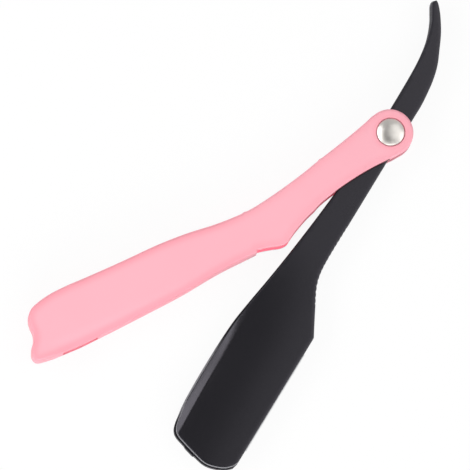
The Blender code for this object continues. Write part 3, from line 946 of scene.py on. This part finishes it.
# The fall of the face below its soft ridge: zero above the ridge line, then a slope that deepens towards
# the far end and runs out there; the bend is the rounded corner (t + sqrt(t t + softness softness)) / 2
def ridgeFall(points):
    edge = handleWebEdge()
    order = np.argsort(edge[:, 0])
    edgeY = np.interp(points[:, 0], edge[order, 0], edge[order, 1])
    start, end = handle["webStart"], handle["ridgeEnd"]
    share = (-points[:, 0] / handle["reach"] - start) / (end - start)
    width = handle["ridgeWidth"] * (0.35 + 0.65 * np.clip(share, 0, 1))
    fade = eased((1.0 - share) / handle["ridgeFade"])
    depth = handle["ridgeDepth"] * np.clip(0.05 + 0.95 * share, 0, 1) * fade
    across = (edgeY + width - points[:, 1]) / width
    soft = handle["ridgeSoftness"]
    bend = (across + np.sqrt(across * across + soft * soft)) / 2
    return depth * np.clip(bend - 0.02, 0, 1.25)


# The channel between the walls: end wall, the web's floor, the ramp that closes the web, then open below
def channelLoop():
    top = handle["width"] + handle["openRoom"]
    web = handleWebEdge() + (0.0, handle["web"])
    keep = (-web[:, 0] > handle["rampLowEnd"] * handle["reach"]) & (-web[:, 0] < handle["channelReach"])
    floor = web[keep]
    reach = handle["channelReach"]
    corner = smoothCurve([(-reach, 0.0), (-reach, 0.55 * floor[0, 1]), tuple(floor[0])], 0.4)[:-1]
    scale = np.array((-handle["reach"], handle["width"]))
    upper = np.array(((0.450, -0.45), (0.420, -0.33), (0.390, -0.225), (0.362, -0.165),
                      (handle["rampHighEnd"], -0.145))) * scale
    rampTop = smoothCurve(np.vstack([floor[-1:], upper]), 0.5)[1:]
    lower = np.array(((0.365, -0.27), (0.392, -0.35), (handle["webStart"] - 0.010, -0.47),
                      (handle["webStart"] - 0.002, -0.60))) * scale
    rampNose = rampTop[-1:] - (0.0, handle["web"])
    rampBase = smoothCurve(np.vstack([rampNose, lower]), 0.5)
    below = -handle["width"] - handle["openRoom"]
    ahead = handle["bossRadius"] + handle["openRoom"]
    start = [(-reach, top)]
    openSide = [(rampBase[-1, 0], below), (ahead, below), (ahead, top)]
    return np.vstack([start, corner, floor, rampTop, rampBase, openSide])


# The rims' radius along the outline: smaller as the face falls away, then blended to the boss's own and to
# the neck's own below the neck
def handleRim(loop):
    x, y = loop[:, 0], loop[:, 1]
    thin = np.clip(ridgeFall(loop) / handle["thinFall"], 0, 1)
    rim = handle["rounding"] + (handle["thinRounding"] - handle["rounding"]) * thin
    rim = rim + (handle["bossRounding"] - rim) * climb(x, *handle["bossBlend"])
    neck = climb(x, *handle["neckBlend"]) * climb(x, *handle["neckRunOut"]) * (y < handle["neckBelow"])
    return rim + (handle["neckRounding"] - rim) * neck


# What is cut from the handle: the channel, the window, the bore, and the caps' recesses, whose mouths are
# rounded by a quarter turn
def handleTools():
    thick, wall = heights["thickness"], heights["wall"]
    low, high = flatLevel(wall), flatLevel(thick - wall)
    near = handle["windowMiddle"] + handle["windowLength"] / 2
    far = handle["windowMiddle"] - handle["windowLength"] / 2
    bottom, top = handle["windowSides"]
    window = np.array([(far, bottom), (near, bottom), (near, top), (far, top)])
    radius = rivet["capRadius"] + rivet["capClearance"]
    soft = handle["recessRounding"]
    front, back = thick - heights["frontRecess"], heights["backRecess"]
    cutLow, cutHigh = heights["cutLow"], heights["cutHigh"]
    frontMouth = arcCurve((radius + soft, thick - soft), soft, 180, 90, 6)
    backMouth = arcCurve((radius + soft, soft), soft, 270, 180, 6)
    frontCut = [[(0, front), (radius, front)], frontMouth, [(radius + soft, cutHigh), (0, cutHigh)]]
    backCut = [[(0, cutLow), (radius + soft, cutLow)], backMouth, [(radius, back), (0, back)]]
    return [
        plateMesh("channel", channelLoop(), low, high, spacing=8.0),
        plateMesh("window", window, low, high, spacing=20.0),
        boreTool("bore", handle["boreRadius"]),
        turnedMesh("frontRecess", np.vstack(frontCut)),
        turnedMesh("backRecess", np.vstack(backCut)),
    ]


# Where the handle's painted shade, shadow and glow change: under and rim give the distances at which a mark
# is full and gone, neckSpan the ends of the neck's edge, and the other pairs are places, distances or depths
# between which a value climbs from nothing to all
handleTint = {
    "under": (0.14, 0.34),
    "rim": (0.8, 3.2),
    "ring": (1.8, 0.3),
    "ringLevel": 0.7,
    "neckSpan": (-30.0, -4.5),
    "underShadowDepth": (0.0, 0.3),
    "underShadowStart": (-29.0, -23.0),
    "plain": (-70.0, -46.0),
    "plainShare": 0.55,
    "slope": (0.0, 0.7),
    "side": (0.0, 1.0),
    "bellyStart": (-64.0, -59.0),
    "bellyEnd": (-40.0, -48.0),
    "neckStart": (-40.0, -34.0),
    "rivetEnd": (-5.0, -11.0),
    "innerLevels": (0.12, 0.88, 0.13),
    "wallSlack": 0.01,
}


# Marks on the handle: a painted shadow under the neck's edge on the front, and painted shade, deeper pink,
# along the rims and round the caps' recesses, below the ridge, and down the side walls
def markHandle(body, loop):
    spots = spotsOf(body)
    x, height = spots[:, 0], spots[:, 2]
    fall = ridgeFall(spots[:, :2])
    depth = np.minimum(heights["thickness"] - fall - height, height - fall)
    start, end = handleTint["neckSpan"]
    neck = handleNeckEdge()
    neck = neck[(neck[:, 0] > start) & (neck[:, 0] < end)]
    # A painted shadow under the neck's edge on the front, where the arm passes beneath
    under = beside(spots, neck, *handleTint["under"]) * climb(depth, *handleTint["underShadowDepth"])
    front = height > heights["thickness"] / 2
    mark(body, "under", under * climb(x, *handleTint["underShadowStart"]) * front)
    # Painted shade along the rims, less of it towards the rivet, and round the caps' recesses
    ring = np.abs(np.linalg.norm(spots[:, :2], axis=1) - rivet["capRadius"] - rivet["capClearance"])
    plain = 1 - handleTint["plainShare"] * climb(x, *handleTint["plain"])
    rim = plain * beside(spots, loop, *handleTint["rim"])
    mark(body, "rim", np.maximum(rim, handleTint["ringLevel"] * climb(ring, *handleTint["ring"])))
    # Painted shade below the ridge and down the side walls
    mark(body, "slope", climb(fall, *handleTint["slope"]))
    mark(body, "side", climb(depth, *handleTint["side"]))


# A face value for the channel's painted red and painted glow, set where all of a face's corners lie on or
# between the walls' inner sides: 1 under the belly, less along the neck and the window, and 0 round the rivet
def markInner(piece):
    mesh = piece.data
    spots = spotsOf(piece)
    height = spots[:, 2]
    corners = np.empty(len(mesh.loops), np.int32)
    mesh.loops.foreach_get("vertex_index", corners)
    starts = np.empty(len(mesh.polygons), np.int32)
    mesh.polygons.foreach_get("loop_start", starts)
    lowest = np.minimum.reduceat(height[corners], starts)
    highest = np.maximum.reduceat(height[corners], starts)
    low = heights["wall"] - handleTint["wallSlack"]
    high = heights["thickness"] - heights["wall"] + handleTint["wallSlack"]
    x = spots[corners[starts], 0]
    least, belly, neck = handleTint["innerLevels"]
    belly = belly * climb(x, *handleTint["bellyStart"]) * climb(x, *handleTint["bellyEnd"])
    level = least + belly + neck * climb(x, *handleTint["neckStart"])
    inner = (lowest > low) & (highest < high)
    inner = inner * level * climb(x, *handleTint["rivetEnd"])
    made = mesh.attributes.new("inner", "FLOAT", "FACE")
    made.data.foreach_set("value", inner.astype(np.float32))


# The handle's plate between the two faces that fall beside the ridge, carved and marked
def makeHandle():
    loop = handleLoop()
    rim = handleRim(loop)
    thick = heights["thickness"]
    mesh = plateMesh("razorHandle", loop, ridgeFall, lambda points: thick - ridgeFall(points),
                     rim, rim, spacing=0.9)
    body = addPiece(mesh)
    carve(body, [(addPiece(tool, show=False), "DIFFERENCE") for tool in handleTools()])
    markHandle(body, loop)
    markInner(body)
    dress(body, pink, "handle", "pink_plastic", "handle")
    print("handle made:", len(body.data.polygons), "faces")


# Rivet: domed front cap, flat back cap
rivet = {
    "capRadius": 4.45,
    "capHeight": 1.4,
    "capRimHeight": 0.28,
    "capSheet": 0.35,
    "capClearance": 0.3,
    "crownPower": 2.4,
    "rimRoll": 0.08,
    "backSheet": 0.28,
    "sides": 128,
}


# Dome: the height falls from the crown by the radius's share to the power crownPower, and the rim rolls
# under
def domedProfile():
    radius, sheet, roll = rivet["capRadius"], rivet["capSheet"], rivet["rimRoll"]
    low = heights["thickness"] - heights["frontRecess"] + heights["rivetGap"]
    share = np.linspace(0, 1, 36) ** 0.8  # closer together towards the rim
    crown = low + rivet["capHeight"]
    height = crown - (rivet["capHeight"] - rivet["capRimHeight"]) * share ** rivet["crownPower"]
    outer = np.column_stack([radius * share, height])
    inner = np.column_stack([(radius - sheet) * share, height - sheet])
    rim = [(radius, low + roll), (radius - roll, low), (radius - sheet, low)]
    return np.vstack([outer, rim, inner[:-1][::-1]])


# Dish: a flat face, a quarter turn of the sheet's own radius at the edge, and a short skirt up to the rim
def dishProfile():
    radius, sheet = rivet["capRadius"], rivet["backSheet"]
    face = heights["backRecess"] - 2 * heights["rivetGap"] - heights["flangeSheet"] - sheet
    rim = heights["backRecess"] - heights["rivetGap"]
    edge = arcCurve((radius - sheet, face + sheet), sheet, -90, 0, 8)
    skirt = [(radius, rim), (radius - sheet, rim), (radius - sheet, face + sheet), (0, face + sheet)]
    return np.vstack([[(0, face), (radius * 0.5, face)], edge, skirt])


# The two caps, and nickel for the rivet's hidden halves, which keep the CAD's own meshes
def makeCaps():
    cap = addPiece(turnedMesh("domedCap", domedProfile(), rivet["sides"]))
    dress(cap, nickel, "handle", "nickel", "rivet_front_cap")
    back = addPiece(turnedMesh("flatCap", dishProfile(), rivet["sides"]))
    dress(back, nickel, "handle", "nickel", "rivet_back_cap")
    for name in ("rivet_socket", "rivet_post"):
        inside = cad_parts[name]
        inside.data.materials.clear()
        inside.data.materials.append(nickel)
    print("rivet made")


# Arm: the outline that both leaves share, from which the front leaf's is inset along the spine
arm = {
    "heelReach": 70.7,
    "toeReach": 119.9,
    "tipReach": 124.75,
    "tipBulge": 4.85,
    "edgeOffset": 13.45,
    "spineOffset": 12.28,
    "lipWidth": 3.6,
    "shankEdge": 3.97,
    "shankSpine": 4.1,
    "eyeRadius": 6.2,
    "tailLength": 45.3,
    "tailRise": 10.85,
    "tailInset": (0.74, 0.87),
    "rounding": 0.45,
    "jimpPitch": 1.8,
    "jimpDepth": 0.2,
    "jimpCount": 15,
    "jimpStart": 34.0,
    "jimpSteps": 12,
    "bore": 2.2,
    "spacing": 0.9,
    "tipStep": 0.4,
    "step": 0.55,
}


# The tail's edge side from its end to the shank, in shares of its length and rise
def tailEdgeSide():
    rise = arm["tailRise"] + arm["shankEdge"]
    shares = ((1.0, 0.909), (0.992, 0.868), (0.978, 0.821), (0.934, 0.703), (0.870, 0.565), (0.806, 0.445),
              (0.706, 0.298), (0.600, 0.1545), (0.499, 0.071), (0.398, 0.025), (0.296, 0.0), (0.221, 0.0))
    points = np.array(shares) * (arm["tailLength"], rise) - (0.0, arm["shankEdge"])
    return smoothCurve(points, arm["step"])


# The tail's spine side. Towards its end it is moved in by the inset, from the first share of the tail's
# length and in full from the second
def tailSpineSide(inset):
    rise = arm["tailRise"] - arm["shankSpine"]
    shares = np.array(((0.221, 0.0), (0.419, 0.018), (0.530, 0.052), (0.620, 0.116), (0.704, 0.215),
                       (0.790, 0.400), (0.857, 0.607), (0.907, 0.807), (0.947, 0.963), (0.965, 1.0),
                       (0.982, 0.985), (0.996, 0.919)))
    points = shares * (arm["tailLength"], rise) + (0.0, arm["shankSpine"])
    start, full = arm["tailInset"]
    points[:, 1] -= inset * np.clip((shares[:, 0] - start) / (full - start), 0, 1)
    return smoothCurve(points, arm["step"])


# The round eye at the rivet, cut by the shank's two sides
def eyeSide(offset, sign):
    bite = math.degrees(math.asin(offset / arm["eyeRadius"]))
    if sign < 0:
        return arcCurve((0, 0), arm["eyeRadius"], -bite, bite - 180, 30)
    return arcCurve((0, 0), arm["eyeRadius"], 180 - bite, bite, 30)


# Edge side from the eye to the heel; over the jimps it is raised by depth x (1 - |sin|), a row of
# scallops, and elsewhere only every fourth point is kept
def heelSide():
    drop = arm["edgeOffset"] - arm["shankEdge"]
    shares = ((0.20, 0.0), (0.45, 0.0), (0.64, 0.0), (0.714, 0.033), (0.762, 0.105),
              (0.806, 0.230), (0.847, 0.387), (0.928, 0.708), (1.0, 1.0))
    points = np.array(shares) * (-arm["heelReach"], -drop) - (0.0, arm["shankEdge"])
    curve = smoothCurve(points, arm["jimpPitch"] / arm["jimpSteps"])
    turn = (-curve[:, 0] - arm["jimpStart"]) / arm["jimpPitch"]
    cut = (turn > 0) & (turn < arm["jimpCount"])
    curve[:, 1] += np.where(cut, arm["jimpDepth"] * (1 - np.abs(np.sin(math.pi * turn))), 0.0)
    plain = np.flatnonzero(~cut)
    keep = np.union1d(np.flatnonzero(cut), plain[::4])
    return np.vstack([curve[keep], [(-arm["heelReach"], -arm["edgeOffset"])]])


# The tip from the toe to the spine; an inset moves it back along the arm, and up a little at the toe, and
# a lip stands out from it as a small tab
def tipSide(inset, lip):
    toe, tip, bulge, offset = arm["toeReach"], arm["tipReach"], arm["tipBulge"], arm["edgeOffset"]
    top = arm["spineOffset"] - inset
    lower = smoothCurve([(-toe - 0.18 * bulge, -0.962 * offset), (-toe - 0.545 * bulge, -0.83 * offset),
                         (-tip + 0.20 * bulge, -0.65 * offset), (-tip + 0.02 * bulge, -0.435 * offset),
                         (-tip, -0.27 * offset), (-tip + 0.15 * bulge, 0.0)], arm["tipStep"])
    way = np.linspace(0, 1, len(lower))
    lower = lower + inset * np.column_stack([0.45 + 0.25 * way, 0.4 * (1 - way)])
    rise = np.array(((0.39, 0.37), (0.61, 0.65), (0.78, 0.755), (1.04, 0.83), (1.48, 0.885), (2.0, 0.917),
                     (2.52, 0.952)))
    upper = smoothCurve(rise * (bulge, top) + (0.7 * inset - tip, 0.0), arm["tipStep"])
    tab = np.empty((0, 2))
    if lip > 0:
        tab = np.array([(-tip + 0.18 * bulge - lip, 0.1 * arm["lipWidth"]),
                        (-tip + 0.36 * bulge - lip, arm["lipWidth"])])
    return np.vstack([[(-toe + 0.22 * bulge, -offset)], lower, tab, upper])


# The spine from the tip to the shank, in shares of the heel's reach and of its own height over the shank
def spineSide(inset):
    low = arm["shankSpine"]
    shares = ((1.548, 0.965), (1.445, 0.993), (1.338, 1.0), (1.23, 0.985), (1.118, 0.935), (1.0, 0.80),
              (0.883, 0.645), (0.737, 0.473), (0.562, 0.30), (0.392, 0.163), (0.22, 0.07))
    points = np.array(shares) * (-arm["heelReach"], arm["spineOffset"] - inset - low) + (0.0, low)
    return smoothCurve(points, arm["step"])


# A leaf's whole outline: tail, eye, heel, tip, spine, eye and tail again
def armLoop(inset=0.0, tailInset=0.0, lip=0.0):
    loop = np.vstack([tailEdgeSide(), eyeSide(arm["shankEdge"], -1), heelSide(), tipSide(inset, lip),
                      spineSide(inset), eyeSide(arm["shankSpine"], 1), tailSpineSide(tailInset)])
    return leftHanded(refined(loop, arm["step"]))


# Front leaf: set back from the back leaf's spine by the flange, with a facet along its own spine. A pair
# named a widening or a crisping is two places between which something climbs from nothing to all, and
# sideDepth two such depths; the pairs for the rims' rubbing and painted sheen, the painted glint and the
# line of painted shade along the spine are the distances at which a mark is full and gone
frontLeaf = {
    "flange": 0.63,
    "tailFlange": 0.45,
    "facetWidth": 2.9,
    "facetThinWidth": 1.9,
    "facetWidening": (-72.0, -94.0),
    "facetTipExtra": 0.35,
    "facetTipWidening": (-108.0, -120.0),
    "facetDepth": 1.3,
    "facetStart": 60.0,
    "facetRounding": 0.16,
    "facetSoftness": (0.45, 0.05),
    "facetCrisping": (-76.0, -102.0),
    "creaseBand": 0.35,
    "thinFall": 0.5,
    "rubbedAndSheen": (0.2, 2.2),
    "paintedGlint": (0.05, 0.155),
    "paintedShadeLine": (0.12, 0.17),
    "tipTurn": 4.0,
    "sideDepth": (0.30, 0.70),
    "sharpAngle": 20.0,
}


# The line of the facet's outer rim, with a level run added past the tip
def facetLine():
    rim = spineSide(frontLeaf["flange"])
    rim = rim[-rim[:, 0] > frontLeaf["facetStart"]]
    run = np.arange(-arm["tipReach"] - 4.0, rim[0, 0] - 0.5, 1.0)
    return np.vstack([np.column_stack([run, np.full(len(run), rim[0, 1])]), rim])


# The facet's width: it widens along the head and a little more at the tip
def facetWidth(x):
    thin, wide = frontLeaf["facetThinWidth"], frontLeaf["facetWidth"]
    width = thin + (wide - thin) * climb(x, *frontLeaf["facetWidening"])
    return width + frontLeaf["facetTipExtra"] * climb(x, *frontLeaf["facetTipWidening"])


# The spine's facet: from its crease the face falls in a straight slope to the rim, deeper and with a
# crisper crease towards the head. The bend at the crease is the rounded corner
# (t + sqrt(t t + softness softness)) / 2
def facetFall(points):
    x = points[:, 0]
    rim = facetLine()
    rimY = np.interp(x, rim[:, 0], rim[:, 1])
    start = frontLeaf["facetStart"]
    length = -spineSide(frontLeaf["flange"])[0, 0] - start
    share = eased((-x - start) / (0.6 * length))
    depth = frontLeaf["facetDepth"] * (0.04 + 0.96 * share) * (-x > start)
    width = facetWidth(x)
    across = (points[:, 1] - rimY + width) / width
    softest, crispest = frontLeaf["facetSoftness"]
    soft = softest + (crispest - softest) * climb(x, *frontLeaf["facetCrisping"])
    bend = (across + np.sqrt(across * across + soft * soft)) / 2
    return depth * width / frontLeaf["facetWidth"] * np.clip(bend - 0.01, 0, 1.5)


# Marks on the front leaf: rims paler from rubbing and a painted sheen, a thin painted highlight round the
# tip's lower rim, and painted shade on the sides, with a thin line of painted shade along the spine
def markFrontLeaf(leaf, loop):
    spots = spotsOf(leaf, True)
    depth = heights["frontLeafHigh"] - facetFall(spots[:, :2]) - spots[:, 2]
    spine = spineSide(frontLeaf["flange"])
    tip = tipSide(frontLeaf["flange"], 0.0)
    turned = climb(spots[:, 0], spine[0, 0], spine[0, 0] - frontLeaf["tipTurn"])
    # A thin line of painted shade along the spine's rim
    paintedShadeLine = beside(spots, spine, *frontLeaf["paintedShadeLine"]) * (1 - turned)
    mark(leaf, "rim", beside(spots, loop, *frontLeaf["rubbedAndSheen"]))
    mark(leaf, "paintedGlint", beside(spots, tip, *frontLeaf["paintedGlint"]) * turned)
    mark(leaf, "side", np.maximum(climb(depth, *frontLeaf["sideDepth"]), paintedShadeLine))


# The front leaf's plate, with fixed edges along the facet's crease and beside it, so that it bends evenly
def makeFrontLeaf():
    loop = armLoop(frontLeaf["flange"], frontLeaf["tailFlange"])
    thin = np.clip(facetFall(loop) / frontLeaf["thinFall"], 0, 1)
    rim = arm["rounding"] + (frontLeaf["facetRounding"] - arm["rounding"]) * thin
    line, band = facetLine(), frontLeaf["creaseBand"]
    creases = [line - np.column_stack([np.zeros(len(line)), facetWidth(line[:, 0]) + aside])
               for aside in (-band, 0.0, band)]
    top, sharp = heights["frontLeafHigh"], frontLeaf["sharpAngle"]
    mesh = plateMesh("frontLeaf", loop, flatLevel(heights["frontLeafLow"]),
                     lambda points: top - facetFall(points), 0.0, rim, arm["spacing"], creases,
                     sharpAngle=sharp)
    leaf = addPiece(mesh, True)
    carve(leaf, [(addPiece(boreTool("frontHole", arm["bore"]), True, False), "DIFFERENCE")], sharp)
    markFrontLeaf(leaf, loop)
    dress(leaf, black, "cover", "black_plastic", "front_leaf")
    print("front leaf made:", len(leaf.data.polygons), "faces")


# Half blade, its bed and its pegs
blade = {
    "length": 43.0,
    "width": 11.0,
    "thickness": 0.1,
    "tabLength": 2.9,
    "tabWidth": 6.6,
    "proud": 0.3,
    "clearance": 0.3,
    "pegRadius": 0.9,
    "pegHeight": 0.45,
    "pegCrown": 0.15,
    "pegRoot": 0.5,
    "pegPitch": 15.0,
    "bedDepth": 0.5,
    "margin": 3.1,
    "bevel": 0.85,
    "bevelThin": 0.46,
    "endSlack": 0.01,
    "groundBand": (0.8, 1.1),
    "step": 0.8,
    "sharpAngle": 2.5,
}


# How far the blade's middle lies from the rivet along the arm
def bladeMiddle():
    return arm["heelReach"] + blade["margin"] + blade["length"] / 2


# Where the blade's back edge lies across the arm: its width behind an edge that stands proud of the leaves'
def bladeBack():
    return -arm["edgeOffset"] - blade["proud"] + blade["width"]


# Back leaf: the flange along the spine and round the tip shows beside the front leaf. The pairs for the rims'
# rubbing and painted sheen and for the painted glints on the flange and the tail are the distances at which a
# mark is full and gone, and the other pairs are for climbs
backLeaf = {
    "lip": 0.35,
    "flangeRounding": 0.14,
    "creaseInset": 0.5,
    "tailCreaseInset": 0.42,
    "rubbedAndSheen": (0.2, 1.2),
    "paintedGlint": (0.5, 0.62),
    "glintStart": (-84.0, -96.0),
    "glintEnd": (-111.0, -118.0),
    "tailGlint": (0.42, 0.5),
    "tailGlintStart": (35.0, 39.0),
    "tailGlintLevel": 0.5,
    "sideDepth": (0.12, 0.32),
    "tipPoints": 12,
}


# The back leaf's spine with the last points of the tip, moved in by an inset
def backSpine(inset):
    return np.vstack([tipSide(inset, 0.0)[-backLeaf["tipPoints"]:], spineSide(inset)])


# The bed open to the edge, three pegs with a rounded crown, and the bore
def backLeafTools():
    high = heights["backLeafHigh"]
    floor = high - blade["bedDepth"]
    middle, half = bladeMiddle(), blade["length"] / 2 + blade["clearance"]
    mouth, back = -arm["edgeOffset"] - 4.0, bladeBack() + blade["clearance"]
    bed = np.array([(-middle - half, mouth), (-middle + half, mouth), (-middle + half, back),
                    (-middle - half, back)])
    bedMesh = plateMesh("bed", bed, flatLevel(floor), flatLevel(high + 4.0), spacing=60.0)
    tools = [(addPiece(bedMesh, True, False), "DIFFERENCE")]
    radius, crown, root = blade["pegRadius"], blade["pegCrown"], floor - blade["pegRoot"]
    dome = arcCurve((0, 0), 1.0, 0, 90, 6) * (radius, crown) + (0.0, floor + blade["pegHeight"] - crown)
    profile = np.vstack([[(0, root), (radius, root)], dome])
    for side in (-1, 0, 1):
        peg = turnedMesh("peg", profile, 40, (-middle + side * blade["pegPitch"], bladeBack()))
        tools.append((addPiece(peg, True, False), "UNION"))
    tools.append((addPiece(boreTool("backHole", arm["bore"]), True, False), "DIFFERENCE"))
    return tools


# Marks on the back leaf: rims paler from rubbing and a painted sheen, painted highlights on the spine's
# flange and on the tail's, and painted shade on the sides
def markBackLeaf(leaf, loop):
    spots = spotsOf(leaf, True)
    x, height = spots[:, 0], spots[:, 2]
    depth = np.minimum(heights["backLeafHigh"] - height, 2.0 * (height - heights["backLeafLow"]))
    # The span along the spine where the flange's painted highlight shows
    wornAndSheen = climb(x, *backLeaf["glintStart"]) * (1 - climb(x, *backLeaf["glintEnd"]))
    spine = beside(spots, backSpine(0.0), *backLeaf["paintedGlint"]) * wornAndSheen
    tail = beside(spots, tailSpineSide(0.0), *backLeaf["tailGlint"]) * climb(x, *backLeaf["tailGlintStart"])
    mark(leaf, "rim", beside(spots, loop, *backLeaf["rubbedAndSheen"]))
    mark(leaf, "paintedGlint", np.maximum(spine, backLeaf["tailGlintLevel"] * tail))
    mark(leaf, "side", climb(depth, *backLeaf["sideDepth"]))


# The back leaf's plate, with fixed edges where the front leaf's rim lies over its flange
def makeBackLeaf():
    loop = armLoop(lip=backLeaf["lip"])
    low, high = flatLevel(heights["backLeafLow"]), flatLevel(heights["backLeafHigh"])
    creases = [backSpine(backLeaf["creaseInset"]), tailSpineSide(backLeaf["tailCreaseInset"])]
    mesh = plateMesh("backLeaf", loop, low, high, arm["rounding"], backLeaf["flangeRounding"],
                     arm["spacing"], creases)
    leaf = addPiece(mesh, True)
    carve(leaf, backLeafTools())
    markBackLeaf(leaf, loop)
    dress(leaf, black, "arm", "black_plastic", "back_leaf")
    print("back leaf made:", len(leaf.data.polygons), "faces")


# The blade's outline: tabs past each end of its edge, and half slots where the pegs stand
def bladeLoop():
    half = blade["length"] / 2
    inner = half - blade["tabLength"]
    back = bladeBack()
    edge, tabLow = back - blade["width"], back - blade["tabWidth"]
    runs = [[(-half, tabLow), (-inner, tabLow), (-inner, edge), (inner, edge), (inner, tabLow),
             (half, tabLow), (half, back)]]
    for side in (1, 0, -1):
        notch = blade["pegRadius"] + blade["clearance"]
        runs.append(arcCurve((side * blade["pegPitch"], back), notch, 0, -180, 20))
    runs.append([(-half, back)])
    return leftHanded(refined(np.vstack(runs) - (bladeMiddle(), 0.0), blade["step"]))


# The half blade: both faces are ground to the edge, where each has fallen by bevelThin of the thickness
def makeBlade():
    middle, inner = bladeMiddle(), blade["length"] / 2 - blade["tabLength"]
    edge = bladeBack() - blade["width"]
    low = heights["backLeafHigh"] - blade["bedDepth"] + blade["clearance"]
    thick = blade["thickness"]

    # How far a face has fallen: it grows evenly over the bevel, along the ground length only
    def taper(points):
        share = np.clip((points[:, 1] - edge) / blade["bevel"], 0, 1)
        ground = np.abs(points[:, 0] + middle) < inner + blade["endSlack"]
        return thick * blade["bevelThin"] * (1 - share) * ground

    places = np.linspace(-inner, inner, 80) - middle
    crease = np.column_stack([places, np.full(len(places), edge + blade["bevel"])])
    mesh = plateMesh("halfBlade", bladeLoop(), lambda points: low + taper(points),
                     lambda points: low + thick - taper(points), 0.0, 0.0, blade["step"], [crease],
                     sharpAngle=blade["sharpAngle"])
    piece = addPiece(mesh, True)
    edgeLine = np.array([(-middle - inner, edge), (-middle + inner, edge)])
    full, none = blade["groundBand"]
    mark(piece, "rim", beside(spotsOf(piece, True), edgeLine, blade["bevel"] * full, blade["bevel"] * none))
    dress(piece, steel, "arm", "blade_steel", "half_blade")
    print("half blade made")


makeHandle()
makeCaps()
makeBackLeaf()
makeBlade()
makeFrontLeaf()

bpy.context.scene.view_settings.view_transform = "Standard"
